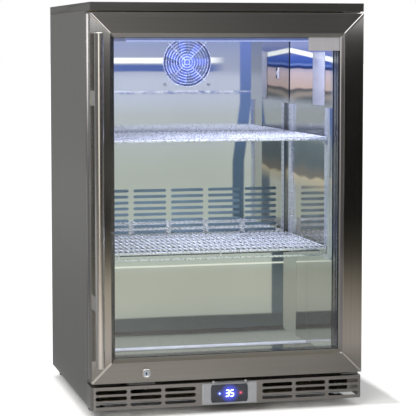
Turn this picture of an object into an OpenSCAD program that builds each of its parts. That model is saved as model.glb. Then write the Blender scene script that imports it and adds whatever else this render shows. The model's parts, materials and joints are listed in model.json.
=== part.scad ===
// Undercounter refrigerator with one glass door, built as separate pieces.
// Millimetres, +Z up. The origin lies on the floor, under the centre of the
// whole object's box, and the door faces -Y.
// Every sub-part is drawn behind the door's front face, which is Y = 0 while
// it is drawn; in_place() then moves it to its place in the model.

/* [Cabinet] */
// Overall width across the side panels
width = 600; // [540:5:720]
// Depth from the door's front face to the rear panel
depth = 543; // [520:1:660]
// Height from the floor to the top of the worktop
height = 880; // [840:1:1060]
// Height of the body above the floor
foot_clearance = 18; // [16:0.5:40]
// Thickness of the worktop's folded edge
worktop_t = 18; // [12:0.5:30]
// Insulated side wall, from the outer face to the cavity
wall = 50; // [44:1:60]
// Insulated roof, from the worktop's underside to the cavity's ceiling
roof = 49; // [40:1:60]
// Insulated back wall, from the rear face to the cavity's back
rear_wall = 73; // [60:1:90]
// Insulated floor, from the plinth's top to the cavity's floor
floor_t = 34.5; // [30:0.5:45]
// Outer steel sheet
sheet_t = 1.2; // [0.8:0.1:2]
// Inner liner sheet
liner_t = 1; // [0.6:0.1:1.5]
// Folded flange along the side panels' front and rear edges
flange_w = 12; // [8:1:16]

/* [Cavity] */
// Depth of the cavity's low floor, from the door's front face to the step
step_depth = 244; // [220:1:280]
// Height of the step over the machine bay, from the cavity's floor
step_h = 211; // [180:1:240]
// Foam between the step and the machine bay
step_foam = 28; // [20:1:40]
// Air panel's distance from the door's front face
air_panel_depth = 393.5; // [380:0.5:410]
// Air slot's length
air_slot_l = 78; // [50:1:84]
// Air slot's height
air_slot_h = 7; // [4:0.5:9]
// Air slot columns' pitch
air_pitch_x = 90; // [86:1:100]
// Air slot rows' pitch
air_pitch_z = 14; // [12:0.5:20]
// Number of columns of air slots
air_columns = 5; // [3:2:5]
// Number of rows of air slots
air_rows = 8; // [3:1:10]
// Height of the lowest row of air slots over the step
air_first_z = 38; // [20:1:60]
// Fan centre's distance below the cavity's ceiling
fan_drop = 63; // [62:1:90]
// Fan frame's side
fan_size = 120; // [100:1:120]
// Distance of the fan's fixing screws from its frame's edges
fan_screw_inset = 7.5; // [5:0.5:9]
// Wire rings in the fan's guard
guard_rings = 7; // [4:1:9]
// Blades on each fan
fan_blades = 7; // [5:1:9]

/* [Shelves] */
// Height of the upper shelf's wires over the cavity's floor
upper_shelf_h = 485; // [440:1:520]
// Height of the lower shelf's wires over the cavity's floor
lower_shelf_h = 242; // [238:1:300]
// Shelf front edge's distance from the door's front face
shelf_front = 72; // [66:1:90]
// Gap between the shelf and each side wall
shelf_side_gap = 9; // [8:0.5:14]
// Radius of the shelf's thin wires
wire_r = 1.5; // [1:0.1:2]
// Radius of the shelf's cross wires
frame_wire_r = 2.5; // [2:0.1:3]
// Largest pitch of the thin wires
wire_pitch = 12; // [10:0.5:30]
// Drop of the lower shelf's front rail
shelf_drop = 17.5; // [12:0.5:22]
// Width of the pilasters that carry the shelves
pilaster_w = 22; // [16:1:26]
// How far a pilaster stands out of the wall
pilaster_t = 6; // [4:0.5:7]
// Pitch of the pilasters' slots
pilaster_pitch = 12.5; // [12:0.5:25]
// Height of the pilasters
pilaster_h = 337; // [300:1:360]
// Front pilaster's distance from the door's front face
pilaster_front = 87; // [80:1:110]
// Rear pilaster's distance from the door's front face
pilaster_rear = 364; // [320:1:370]

/* [Plinth] */
// Height of the ventilated plinth
plinth_h = 49.5; // [48:0.5:60]
// Plinth sheet's thickness
plinth_t = 1.5; // [1:0.1:2.5]
// Radius of the plinth's rounded upright corners
plinth_corner_r = 8; // [4:0.5:12]
// Vent slot's length
vent_l = 68; // [40:1:70]
// Vent slot's height
vent_h = 8.5; // [5:0.5:9]
// Vent columns' pitch
vent_pitch_x = 75; // [72:1:80]
// Vent rows' pitch
vent_pitch_z = 13.4; // [12:0.1:14]
// Vent columns on each side of the controller
vent_columns = 3; // [1:1:3]
// Distance of the first vent column's centre from the middle
vent_first_x = 108; // [106:1:112]

/* [Controller] */
// Width of the controller's bezel
bezel_w = 121; // [100:1:122]
// Height of the controller's bezel
bezel_h = 45; // [40:0.5:46]
// Thickness of the bezel in front of the plinth
bezel_t = 2; // [1.5:0.1:3]
// Width of the dark display lens
display_w = 82; // [60:1:84]
// Height of the dark display lens
display_h = 39; // [30:0.5:40]
// Thickness of the clear flip-up cover
cover_t = 3.2; // [2.5:0.1:4]
// Width of the cover's hinge barrel
cover_hinge_w = 67; // [40:1:80]
// Radius of the cover's hinge barrel
cover_barrel_r = 2; // [1.8:0.1:2.2]

/* [Door] */
// Door's thickness
door_t = 50; // [46:0.5:60]
// Gap between the worktop and the door
door_gap_top = 4; // [3.5:0.1:8]
// Gap between the plinth and the door
door_gap_bottom = 7.5; // [7:0.1:12]
// Gap between the door and the cabinet, which the gasket fills
gasket_gap = 10; // [9:0.5:14]
// Width of the door's steel frame
frame_w = 52; // [46:1:60]
// Width and depth of the frame's inner bevel
bevel = 9; // [5:0.5:9]
// Door skin's thickness
skin_t = 1; // [0.6:0.1:1.2]
// Depth of the door skin's folded edge
skin_return = 20; // [14:0.5:20.5]
// Shadow groove between the skin's edge and the door's rear frame
groove_w = 3; // [2:0.5:5]
// Thickness of each glass pane
glass_t = 4; // [3:0.5:5]
// Gap between the glass panes
pane_gap = 9; // [6:0.5:9]
// Glazing's overlap behind the frame
glass_overlap = 8; // [6:0.5:9]
// Hinge axis's distance from the door's edge
pivot_inset = 15; // [14:0.5:18]
// Hinge axis's distance from the door's front face
pivot_d = 27; // [27:0.5:30]
// Hinge pins' radius
hinge_pin_r = 4; // [3:0.5:5]
// Hinge brackets' plate thickness
bracket_t = 2.5; // [2:0.1:2.8]

/* [Handle] */
// Handle bar's radius
handle_r = 9.5; // [7:0.5:10]
// Handle bar's length
handle_l = 700; // [500:5:740]
// Distance of the bar's axis from the door's front face
handle_standoff = 45; // [38:0.5:55]
// Distance of the bar's axis from the door's edge
handle_inset = 10.5; // [10.5:0.5:30]
// Width of the handle's posts
post_w = 19; // [12:0.5:20]
// Height of the handle's posts
post_h = 31; // [20:0.5:40]
// Distance between the posts' centres
post_spacing = 428; // [300:1:480]

/* [Lock] */
// Lock axis's distance from the middle of the door
lock_inset = 183.5; // [120:0.5:200]
// Lock axis's height over the door's bottom edge
lock_h = 20; // [19:0.5:22]
// Radius of the lock's face
lock_face_r = 10.5; // [10:0.5:12]
// How far the lock's face stands out of the door
lock_proud = 8.5; // [4:0.5:10]
// Radius of the lock's barrel
barrel_r = 9; // [8:0.5:9.5]
// Radius of the turning plug
plug_r = 6; // [5:0.5:7]
// Reach of the cam from the lock's axis
cam_reach = 23.5; // [23:0.1:24]

/* [Feet] */
// Radius of a foot's pad
foot_r = 18; // [14:0.5:22]
// Thickness of a foot's pad
foot_pad_t = 8; // [6:0.5:10]
// Radius of a foot's threaded stem
foot_stem_r = 5; // [4:0.5:6]
// Foot axis's distance from the side face
foot_inset = 28; // [26:1:40]
// Front feet's distance from the door's front face
foot_front = 100; // [90:1:140]
// Rear feet's distance from the rear face
foot_rear = 43; // [30:1:70]

/* [Hidden] */
$fn = 64;

// Clearances
hair = 0.1;        // between pieces fixed to each other
running = 0.05;    // radial, between a shaft and its bore
slack = 0.3;       // between pieces that move past each other

// Whole object: the handle is the foremost point and the rear panel the last
face_y = (handle_standoff + handle_r - depth) / 2;
half_w = width / 2;
body_z = foot_clearance;
plinth_z1 = body_z + plinth_h;
slab_z = height - worktop_t;

// Door
door_z0 = plinth_z1 + door_gap_bottom;
door_z1 = slab_z - door_gap_top;
door_h = door_z1 - door_z0;
door_mid_z = (door_z0 + door_z1) / 2;
glazing_half_w = half_w - frame_w + glass_overlap;
glazing_z0 = door_z0 + frame_w - glass_overlap;
glazing_z1 = door_z1 - frame_w + glass_overlap;
pane_pitch = glass_t + pane_gap;
pane_d = bevel + 0.2;
glazing_d1 = pane_d + 2 * pane_pitch + glass_t;
core_d = skin_return + groove_w;
liner_flange_t = 2;
pivot_x = half_w - pivot_inset;
gasket_w = 16;

// Cavity and machine bay
cab_d = door_t + gasket_gap;
cavity_x = half_w - wall;
cavity_z0 = plinth_z1 + floor_t;
cavity_z1 = slab_z - roof;
cavity_back = depth - rear_wall;
step_z = cavity_z0 + step_h;
bay_d = step_depth + step_foam + 11;
bay_z1 = step_z - step_foam;
bay_x = half_w - 10;
fan_z = cavity_z1 - fan_drop;
fan_bore_r = fan_size / 2 - 2;
fan_screw_pitch = fan_size - 2 * fan_screw_inset;
air_panel_t = 1.2;
guard_t = 1.8;
fan_d0 = air_panel_depth + air_panel_t + hair;
fan_depth = 25;

// Lock
lock_x = -lock_inset;
lock_z = door_z0 + lock_h;
cam_d = 33;
cam_t = 3;
cam_w = 12;

// Cover's hinge axis
cover_d = -bezel_t - cover_barrel_r + 0.8;
cover_z = plinth_z1 + 1.1;
cover_pin_r = 1;
bezel_z = body_z + plinth_h / 2;

// Condenser fan
cond_x = 130;
cond_z = body_z + 116;
cond_d = bay_d + 22;
cond_fan_r = 84;
shroud_d = cond_d + 48;

// Compressor
comp_x = -150;
comp_d = bay_d + 140;
comp_z = body_z + sheet_t;
comp_r = 72;
stud_r = 3.4;

// Helpers

module in_place() translate([0, face_y, 0]) children();

// A box between its lowest and its highest corner
module span(lo, hi) translate(lo) cube(hi - lo);

// The same piece on the left and on the right
module both_sides() {
    children();
    mirror([1, 0, 0]) children();
}

// Turns what is drawn along Z to run along Y or along X
module along_y() rotate([-90, 0, 0]) children();
module along_x() rotate([0, 90, 0]) children();

// Draws a shape given in X and Z, and makes it thick along Y
module upright(d, t) translate([0, d + t, 0]) rotate([90, 0, 0]) linear_extrude(t) children();

// A washer or a tube along Z
module ring(r_out, r_in, h) difference() {
    cylinder(r = r_out, h = h);
    translate([0, 0, -1]) cylinder(r = r_in, h = h + 2);
}

// Outline of a slot with round ends of n steps each, counter-clockwise
function slot_outline(x, z, l, h, n = 8) = concat(
    [for (i = [0:n]) [x + (l - h) / 2 + h / 2 * cos(-90 + 180 * i / n), z + h / 2 * sin(-90 + 180 * i / n)]],
    [for (i = [0:n]) [x - (l - h) / 2 + h / 2 * cos(90 + 180 * i / n), z + h / 2 * sin(90 + 180 * i / n)]]
);

// A plate between two corners with round-ended slots at the given centres
module slotted_plate(lo, hi, centres, l, h, steps = 8) {
    points = concat(
        [[lo.x, lo.y], [hi.x, lo.y], [hi.x, hi.y], [lo.x, hi.y]],
        [for (c = centres) each slot_outline(c.x, c.y, l, h, steps)]
    );
    n = 2 * (steps + 1);
    paths = concat(
        [[0, 1, 2, 3]],
        [for (k = [0:len(centres) - 1]) [for (i = [0:n - 1]) 4 + k * n + i]]
    );
    polygon(points, paths);
}

// Four bars around a rectangular opening, a hair apart at their joints.
// The outer box is 2 * xo wide from zo0 to zo1, the opening 2 * xi from zi0 to zi1.
module bar_ring(xo, zo0, zo1, xi, zi0, zi1, d0, d1) {
    both_sides() span([xi, d0, zo0], [xo, d1, zo1]);
    span([-xi + hair, d0, zo0], [xi - hair, d1, zi0]);
    span([-xi + hair, d0, zi1], [xi - hair, d1, zo1]);
}

// Cabinet

module side_panel_left() color("#6f706c") in_place()
    translate([0, 0, body_z]) linear_extrude(slab_z - body_z - hair) polygon([
        [-half_w, cab_d], [-half_w + flange_w, cab_d], [-half_w + flange_w, cab_d + sheet_t],
        [-half_w + sheet_t, cab_d + sheet_t], [-half_w + sheet_t, depth - sheet_t],
        [-half_w + flange_w, depth - sheet_t], [-half_w + flange_w, depth], [-half_w, depth]
    ]);

module side_panel_right() color("#6f706c") mirror([1, 0, 0]) side_panel_left();

// Folded steel tray, open underneath, over the cabinet and the door
module worktop() color("#5c5b58") in_place() difference() {
    span([-half_w, 0, slab_z], [half_w, depth, height]);
    span([-half_w + sheet_t, sheet_t, slab_z - 1], [half_w - sheet_t, depth - sheet_t, height - sheet_t]);
}

rear_louvre_l = 92;
rear_louvre_columns = [-150, -50, 50, 150];
inlet_x = 225;
inlet_z = body_z + 62;
inlet_w = 48;
inlet_h = 28;

module rear_panel() color("#9a9c9e") in_place() difference() {
    upright(depth - sheet_t, sheet_t) slotted_plate(
        [-half_w + flange_w + hair, body_z + 2], [half_w - flange_w - hair, slab_z - 1],
        [for (x = rear_louvre_columns, k = [0:6]) [x, bay_z1 - 30 - 16 * k]],
        rear_louvre_l, 6, 4);
    span([inlet_x - inlet_w / 2 - hair, depth - 10, inlet_z - inlet_h / 2 - hair],
        [inlet_x + inlet_w / 2 + hair, depth + 1, inlet_z + inlet_h / 2 + hair]);
}

nut_h = foot_clearance - foot_pad_t - slack;

module foot_places()
    for (x = [-half_w + foot_inset, half_w - foot_inset], d = [foot_front, depth - foot_rear])
        translate([x, d, 0]) children();

// The four points that the compressor stands on, round its middle
module compressor_mounts() for (x = [-80, 80], y = [-48, 48]) translate([x, y, 0]) children();

// Floor of the machine bay, with a welded nut for each foot and four studs for the compressor
module base_pan() color("#8b8e90") in_place() difference() {
    union() {
        span([-half_w + sheet_t + hair, cab_d + sheet_t + hair, body_z],
            [half_w - sheet_t - hair, depth - sheet_t - hair, body_z + sheet_t]);
        foot_places() translate([0, 0, foot_pad_t + slack])
            cylinder(r = foot_stem_r + 4.5, h = nut_h + 0.5, $fn = 6);
        translate([comp_x, comp_d, body_z]) compressor_mounts() cylinder(r = stud_r, h = sheet_t + 29);
    }
    foot_places() cylinder(r = foot_stem_r + running, h = body_z + 5);
}

module face_frame() color("#7d7d7a") in_place()
    bar_ring(half_w - flange_w - hair, plinth_z1 + 1, slab_z - 1, cavity_x + liner_t + hair,
        cavity_z0 - liner_t - hair, cavity_z1 + liner_t + hair, cab_d, cab_d + sheet_t);

drain_x = comp_x;
drain_d = cavity_back - 30;
drain_r = 8;

// Foam between the shell and the liner, and under the worktop
module insulation() color("#e8dfb0") in_place() {
    side = half_w - sheet_t - 0.3;
    cavity_side = cavity_x + liner_t + 0.2;
    back_d = cavity_back + liner_t + 0.2;
    front_d = cab_d + sheet_t + 0.3;
    difference() {
        span([-side, front_d, plinth_z1 + 0.5], [side, depth - sheet_t - 0.3, slab_z - 0.5]);
        span([-cavity_side, 0, cavity_z0 - liner_t - 0.2],
            [cavity_side, step_depth + liner_t + 0.2, step_z + 1]);
        span([-cavity_side, 0, step_z - liner_t - 0.2], [cavity_side, back_d, cavity_z1 + liner_t + 0.2]);
        span([-bay_x, bay_d, 0], [bay_x, depth + 1, bay_z1]);
        translate([drain_x, drain_d, bay_z1 - 1]) cylinder(r = drain_r + hair, h = step_foam + 2);
    }
    span([-half_w + sheet_t + 0.3, sheet_t + 0.3, slab_z + 0.1],
        [half_w - sheet_t - 0.3, depth - sheet_t - 0.3, height - sheet_t - 0.3]);
}

// Stepped side sheets, which follow the cavity's profile
module liner_sides() color("#c9cccd") in_place() both_sides()
    translate([cavity_x, 0, 0]) rotate([90, 0, 90]) linear_extrude(liner_t) polygon([
        [cab_d, cavity_z0], [step_depth, cavity_z0], [step_depth, step_z],
        [cavity_back, step_z], [cavity_back, cavity_z1], [cab_d, cavity_z1]
    ]);

module liner_top() color("#c9cccd") in_place()
    span([-cavity_x - liner_t, cab_d, cavity_z1 + hair / 2],
        [cavity_x + liner_t, cavity_back, cavity_z1 + liner_t]);

module liner_floor() color("#c9cccd") in_place()
    span([-cavity_x - liner_t, cab_d, cavity_z0 - liner_t],
        [cavity_x + liner_t, step_depth - hair, cavity_z0 - hair / 2]);

// Riser and step over the machine bay, folded from one sheet
module liner_step() color("#c9cccd") in_place() difference() {
    translate([-cavity_x + hair, 0, 0]) rotate([90, 0, 90]) linear_extrude(2 * (cavity_x - hair)) polygon([
        [step_depth, cavity_z0 - liner_t], [step_depth + liner_t, cavity_z0 - liner_t],
        [step_depth + liner_t, step_z - liner_t], [cavity_back - hair, step_z - liner_t],
        [cavity_back - hair, step_z], [step_depth, step_z]
    ]);
    translate([drain_x, drain_d, step_z - liner_t - 1]) cylinder(r = drain_r + hair, h = liner_t + 2);
}

module liner_back() color("#c9cccd") in_place()
    span([-cavity_x - liner_t, cavity_back, step_z + hair],
        [cavity_x + liner_t, cavity_back + liner_t, cavity_z1 + liner_t]);

// Air panel in front of the evaporator, with its outlet slots and the fan's hole
module air_panel() color("#c9cccd") in_place() difference() {
    upright(air_panel_depth, air_panel_t) slotted_plate(
        [-cavity_x + 0.5, step_z + 0.5], [cavity_x - 0.5, cavity_z1 - 0.5],
        [for (i = [0:air_columns - 1], k = [0:air_rows - 1])
            [(i - (air_columns - 1) / 2) * air_pitch_x, step_z + air_first_z + k * air_pitch_z]],
        air_slot_l, air_slot_h);
    translate([0, air_panel_depth - 1, fan_z]) along_y() {
        cylinder(r = fan_bore_r, h = 5);
        fan_screw_places() cylinder(r = screw_r + hair, h = 5);
    }
}

guard_d = air_panel_depth - guard_t - 0.2;
guard_r = fan_bore_r;
screw_r = 2;

// The fan's four fixing screws, around its axis
module fan_screw_places()
    for (x = [-1, 1], y = [-1, 1]) translate([x, y, 0] * fan_screw_pitch / 2) children();

// Wire guard: rings on four spokes that end in eyes for the fixing screws
module fan_guard() color("#dfe2e4") in_place() translate([0, guard_d, fan_z]) along_y() {
    hub = 10;
    pitch = (guard_r - hub) / guard_rings;
    reach = fan_screw_pitch / sqrt(2);
    for (k = [0:guard_rings]) ring(hub + pitch * k + 1, hub + pitch * k - 1, guard_t);
    difference() {
        for (a = [45:90:315]) rotate(a) union() {
            translate([hub, -1.2, 0.3]) cube([reach - hub, 2.4, guard_t - 0.6]);
            translate([reach, 0, 0]) cylinder(r = 4.4, h = guard_t);
        }
        fan_screw_places() translate([0, 0, -1]) cylinder(r = screw_r + hair, h = guard_t + 2);
    }
}

hub_r = 20;
shaft_r = 2;

// Square frame behind the air panel, with the motor's cup on four arms
module fan_frame() color("#26282a") in_place() translate([0, fan_d0, fan_z]) along_y() {
    difference() {
        translate([-fan_size / 2, -fan_size / 2, 0]) cube([fan_size, fan_size, fan_depth]);
        translate([0, 0, -1]) cylinder(r = fan_bore_r, h = fan_depth + 2);
        fan_screw_places() translate([0, 0, -1]) cylinder(r = screw_r + hair, h = fan_depth + 2);
    }
    difference() {
        union() {
            translate([0, 0, fan_depth - 9]) cylinder(r = hub_r, h = 8);
            for (a = [0:90:270]) rotate(a) translate([hub_r - 2, -3, fan_depth - 5])
                cube([fan_bore_r - hub_r + 3, 6, 4]);
        }
        translate([0, 0, fan_depth - 10]) cylinder(r = shaft_r + running, h = 7);
    }
}

// Cross-headed pan screw along Z, its head's underside at Z = 0 and its tip at -l
module pan_screw(r, l) difference() {
    union() {
        cylinder(r1 = 2 * r, r2 = 1.7 * r, h = 1.2 * r);
        translate([0, 0, -l]) cylinder(r = r, h = l + 0.1);
    }
    for (a = [0, 90]) rotate(a) translate([-1.2 * r, -0.22 * r, 0.7 * r]) cube([2.4 * r, 0.44 * r, r]);
}

plinth_screw_x = vent_first_x + vent_pitch_x;
plinth_screw_z = bezel_z + vent_pitch_z + vent_h / 2 + 0.8;

// Fan and plinth screws
module panel_screws() color("#b9bdc0") in_place() {
    translate([0, guard_d - 0.1, fan_z]) along_y() fan_screw_places()
        mirror([0, 0, 1]) pan_screw(screw_r, 12);
    both_sides() translate([plinth_screw_x, plinth_t + 3.5, plinth_screw_z])
        rotate([90, 0, 0]) pan_screw(1.6, 14);
}

// Refrigeration

evap_half_w = 195;
evap_z0 = step_z + 150;
evap_h = 190;
evap_rows = 5;
evap_d0 = fan_d0 + fan_depth + 8;
evap_d1 = cavity_back - 6;
fin_t = 0.6;

// Finned coil: passes along X on two planes, joined by return bends at both ends
module evaporator_coil() color("#b8bcc0") in_place() {
    tube_r = 4;
    pitch = evap_h / evap_rows;
    for (p = [0, 1]) {
        d = p == 0 ? evap_d0 + 9 : evap_d1 - 9;
        for (k = [0:evap_rows - 1]) translate([-evap_half_w, d, evap_z0 + pitch * (k + 0.5)])
            along_x() cylinder(r = tube_r, h = 2 * evap_half_w, $fn = 24);
    }
    fins = 21;
    for (i = [0:fins - 1]) {
        x = -evap_half_w + 12 + i * (2 * evap_half_w - 24) / (fins - 1);
        span([x - fin_t / 2, evap_d0, evap_z0], [x + fin_t / 2, evap_d1, evap_z0 + evap_h]);
    }
    both_sides() span([evap_half_w - 1, evap_d0, evap_z0], [evap_half_w + 1, evap_d1, evap_z0 + evap_h]);
}

tray_z = comp_z + 196;

// Open tray that catches the drain's water over the warm compressor
module evaporation_tray() color("#2b2d2f") in_place() difference() {
    span([comp_x - 85, comp_d - 60, tray_z], [comp_x + 85, comp_d + 85, tray_z + 26]);
    span([comp_x - 83, comp_d - 58, tray_z + 2], [comp_x + 83, comp_d + 83, tray_z + 27]);
}

module drain_tube() color("#d8d9d6") in_place() translate([drain_x, drain_d, tray_z + 12])
    ring(drain_r, drain_r - 1.5, step_z - tray_z - 12 - 0.5);

// Hermetic compressor on its base plate
module compressor() color("#1d1e20") in_place() translate([comp_x, comp_d, comp_z]) {
    difference() {
        translate([-95, -62, 19]) cube([190, 124, 3]);
        compressor_mounts() translate([0, 0, 10]) cylinder(r = 7.1, h = 20);
    }
    translate([0, 0, 22]) rotate_extrude() intersection() {
        square([comp_r, 170]);
        union() {
            translate([0, 58]) circle(r = comp_r + 2);
            translate([0, 100]) circle(r = comp_r - 4);
            square([comp_r - 20, 10]);
        }
    }
    translate([comp_r - 12, -22, 70]) cube([26, 44, 52]);
}

// Rubber feet, pushed over the studs
module compressor_grommets() color("#151515") in_place() translate([comp_x, comp_d, comp_z + 0.05])
    compressor_mounts() {
        ring(11, stud_r + hair, 18.8);
        translate([0, 0, 18.7]) ring(7, stud_r + hair, 4);
    }

module condenser_coil() color("#303234") in_place() {
    half = 105;
    high = 190;
    z0 = cond_z - high / 2;
    for (k = [0:6]) translate([cond_x - half - 8, cond_d + 20, z0 + high * (k + 0.5) / 7])
        along_x() cylinder(r = 4, h = 2 * half + 16, $fn = 24);
    fins = 22;
    for (i = [0:fins - 1]) {
        x = cond_x - half + i * 2 * half / (fins - 1);
        span([x - fin_t / 2, cond_d, z0], [x + fin_t / 2, cond_d + 40, z0 + high]);
    }
}

// Shroud behind the condenser, with the fan motor on four arms
module condenser_shroud() color("#232527") in_place() translate([cond_x, shroud_d, cond_z]) along_y() {
    difference() {
        translate([-105, -95, -6]) cube([210, 190, 26]);
        translate([-103, -93, -7]) cube([206, 186, 5]);
        translate([0, 0, -8]) cylinder(r = cond_fan_r + 3, h = 30);
    }
    difference() {
        union() {
            translate([0, 0, 22]) cylinder(r = 26, h = 34);
            for (a = [0:90:270]) rotate(a) {
                translate([24, -4, 24]) cube([cond_fan_r - 14, 8, 4]);
                translate([cond_fan_r + 5, -4, 19.5]) cube([5, 8, 8.5]);
            }
        }
        translate([0, 0, 21]) cylinder(r = shaft_r + running, h = 20);
    }
}

// A tube through a list of corner points, with a ball at every corner
module pipe(points, r) {
    for (i = [0:len(points) - 2]) {
        v = points[i + 1] - points[i];
        translate(points[i]) rotate([0, acos(v.z / norm(v)), atan2(v.y, v.x)])
            cylinder(r = r, h = norm(v), $fn = 20);
    }
    for (i = [1:len(points) - 2]) translate(points[i]) sphere(r = r, $fn = 20);
}

// Suction, discharge and liquid lines, and the filter drier on the liquid line
module refrigerant_tubes() color("#b87349") in_place() {
    top_z = bay_z1 - 14;
    rear_d = depth - 22;
    pipe([[comp_x - 40, comp_d - comp_r - 3, comp_z + 90], [comp_x - 40, bay_d + 20, comp_z + 90],
        [comp_x - 40, bay_d + 20, top_z], [-12, bay_d + 20, top_z]], 4);
    pipe([[comp_x + 30, comp_d - comp_r - 3, comp_z + 60], [comp_x + 30, bay_d + 42, comp_z + 60],
        [cond_x - 118, bay_d + 42, comp_z + 60]], 3);
    translate([-30, rear_d - 12, comp_z + 60]) {
        cylinder(r = 9, h = 90);
        translate([0, 0, 89.9]) cylinder(r1 = 9, r2 = 3, h = 8);
        translate([0, 0, -7.9]) cylinder(r1 = 3, r2 = 9, h = 8);
    }
    pipe([[-30, rear_d - 12, comp_z + 157], [-30, rear_d - 12, top_z], [-30, bay_d + 50, top_z]], 1.5);
}

elec_x0 = 60;
elec_d0 = shroud_d + 70;

// Closed box for the relay and the driver, with a gland hole at the back
module electrical_box() color("#3a3d40") in_place() difference() {
    span([elec_x0, elec_d0, body_z + sheet_t + 0.1], [elec_x0 + 120, depth - 20, body_z + 100]);
    translate([elec_x0 + 60, depth - 30, body_z + 50]) along_y() cylinder(r = 5, h = 20);
}

// Appliance inlet with three pins in a recessed shroud
module power_inlet() color("#1a1a1b") in_place() translate([inlet_x, depth, inlet_z]) {
    difference() {
        union() {
            translate([-inlet_w / 2 + hair, -26, -inlet_h / 2 + hair])
                cube([inlet_w - 0.2, 26, inlet_h - 0.2]);
            translate([-inlet_w / 2 - 4, -sheet_t - 2.1, -inlet_h / 2 - 4])
                cube([inlet_w + 8, 2, inlet_h + 8]);
        }
        translate([-12, -18, -8]) cube([24, 20, 16]);
    }
    for (x = [-7, 0, 7]) translate([x - 1, -18.5, x == 0 ? 0 : -3.5]) cube([2, 14, 4]);
}

// Light, shelves and sensor

led_half_w = cavity_x - 40;

module led_housing() color("#d9dadb") in_place() difference() {
    span([-led_half_w, cab_d + 6, cavity_z1 - 13], [led_half_w, cab_d + 24, cavity_z1 - 0.1]);
    span([-led_half_w + 3, cab_d + 8, cavity_z1 - 14], [led_half_w - 3, cab_d + 22, cavity_z1 - 5]);
}

module led_lens() color("#eef4ff") in_place()
    span([-led_half_w + 3.2, cab_d + 8.2, cavity_z1 - 15], [led_half_w - 3.2, cab_d + 21.8, cavity_z1 - 10]);

pilaster_z0 = step_z + 1;
pilaster_web_t = 1.2;
pilaster_slots = floor((pilaster_h - 24) / pilaster_pitch);

// Slotted channels on the side walls
module pilasters() color("#b9bcbe") in_place() both_sides() for (d = [pilaster_front, pilaster_rear]) {
    inner_x = cavity_x - pilaster_t;
    translate([inner_x, d, pilaster_z0]) rotate([90, 0, 90]) linear_extrude(pilaster_web_t) slotted_plate(
        [-pilaster_w / 2, 0], [pilaster_w / 2, pilaster_h],
        [for (k = [0:pilaster_slots]) [0, 12 + k * pilaster_pitch]], 9, 3.5, 3);
    for (s = [-1, 1])
        translate([inner_x, d + s * (pilaster_w - pilaster_web_t) / 2 - pilaster_web_t / 2, pilaster_z0])
            cube([pilaster_t - 0.1, pilaster_web_t, pilaster_h]);
}

shelf_half_w = cavity_x - shelf_side_gap;
shelf_back = air_panel_depth - 8;
upper_z = cavity_z0 + upper_shelf_h;
lower_z = cavity_z0 + lower_shelf_h;
clip_top = -wire_r - 2 * frame_wire_r - 2 * hair;

// Hooked clips in the pilasters, four under each shelf
module shelf_clips() color("#c4c7c9") in_place() both_sides()
    for (z = [upper_z, lower_z], d = [pilaster_front, pilaster_rear])
        translate([cavity_x - pilaster_t - 0.1, d - 6, z + clip_top]) rotate([90, 0, 180])
            linear_extrude(12) polygon([[0, 0], [12, 0], [12, -1.6], [1.6, -10], [0, -10]]);

// Front-to-back wires on cross wires, with a pair of cross wires at the front.
// Wires lie a hair apart where the real ones are welded.
module shelf(z, drop) translate([0, 0, z]) {
    length = shelf_back - shelf_front;
    n = ceil(2 * shelf_half_w / wire_pitch);
    for (i = [0:n]) translate([-shelf_half_w + wire_r + i * 2 * (shelf_half_w - wire_r) / n, shelf_front, 0])
        along_y() cylinder(r = wire_r, h = length, $fn = 16);
    crosses = 5;
    under = -wire_r - frame_wire_r - hair;
    for (d = concat([shelf_front + 2.5, shelf_front + 9],
            [for (k = [1:crosses]) shelf_front + 9 + k * (length - 12) / crosses]))
        translate([-shelf_half_w, d, under]) along_x()
            cylinder(r = frame_wire_r, h = 2 * shelf_half_w, $fn = 20);
    if (drop > 0) {
        translate([-shelf_half_w + 6, shelf_front + 2.5, -drop]) along_x()
            cylinder(r = frame_wire_r, h = 2 * shelf_half_w - 12, $fn = 20);
        for (x = [-shelf_half_w + 14, 0, shelf_half_w - 14])
            translate([x, shelf_front + 2.5, -drop + frame_wire_r + hair])
                cylinder(r = wire_r, h = drop + under - 2 * frame_wire_r - 2 * hair, $fn = 16);
    }
}

module shelf_upper() color("#d8dbe2") in_place() shelf(upper_z, 0);
module shelf_lower() color("#d8dbe2") in_place() shelf(lower_z, shelf_drop);

// Air temperature sensor in its clip on the air panel
module temperature_probe() color("#e4e4e0") in_place()
    translate([cavity_x - 28, air_panel_depth - 7, fan_z - 40]) {
        cylinder(r = 3, h = 26, $fn = 24);
        translate([-5, 3.2, 8]) cube([10, 3.6, 10]);
    }

// Plinth and controller

// Plan of the plinth's outside, inset by t
module plinth_plan(t) {
    r = plinth_corner_r - t;
    c = half_w - plinth_corner_r;
    d1 = cab_d - 0.5;
    translate([-c, t]) square([2 * c, d1 - t]);
    translate([-half_w + t, plinth_corner_r]) square([2 * (half_w - t), d1 - plinth_corner_r]);
    for (s = [-1, 1]) translate([s * c, plinth_corner_r]) circle(r = r);
}

// Vented plinth: front, rounded corners, returned sides and a top flange
module plinth_grille() color("#7b7a76") in_place() difference() {
    translate([0, 0, body_z]) linear_extrude(plinth_h) plinth_plan(0);
    translate([0, 0, body_z - 1]) linear_extrude(plinth_h + 1 - plinth_t) plinth_plan(plinth_t);
    span([-half_w + plinth_t, cab_d - 4, body_z - 1], [half_w - plinth_t, cab_d, plinth_z1 - plinth_t]);
    upright(-1, plinth_t + 2) for (s = [-1, 1], i = [0:vent_columns - 1], k = [-1:1])
        polygon(slot_outline(
            s * (vent_first_x + i * vent_pitch_x), bezel_z + k * vent_pitch_z, vent_l, vent_h));
    both_sides() translate([plinth_screw_x, -1, plinth_screw_z])
        along_y() cylinder(r = 3.3, h = plinth_t + 2);
    upright(-1, plinth_t + 2) translate([-bezel_w / 2 + 5, bezel_z - bezel_h / 2 + 5])
        square([bezel_w - 10, bezel_h - 10]);
}

lug_w = 4;

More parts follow.
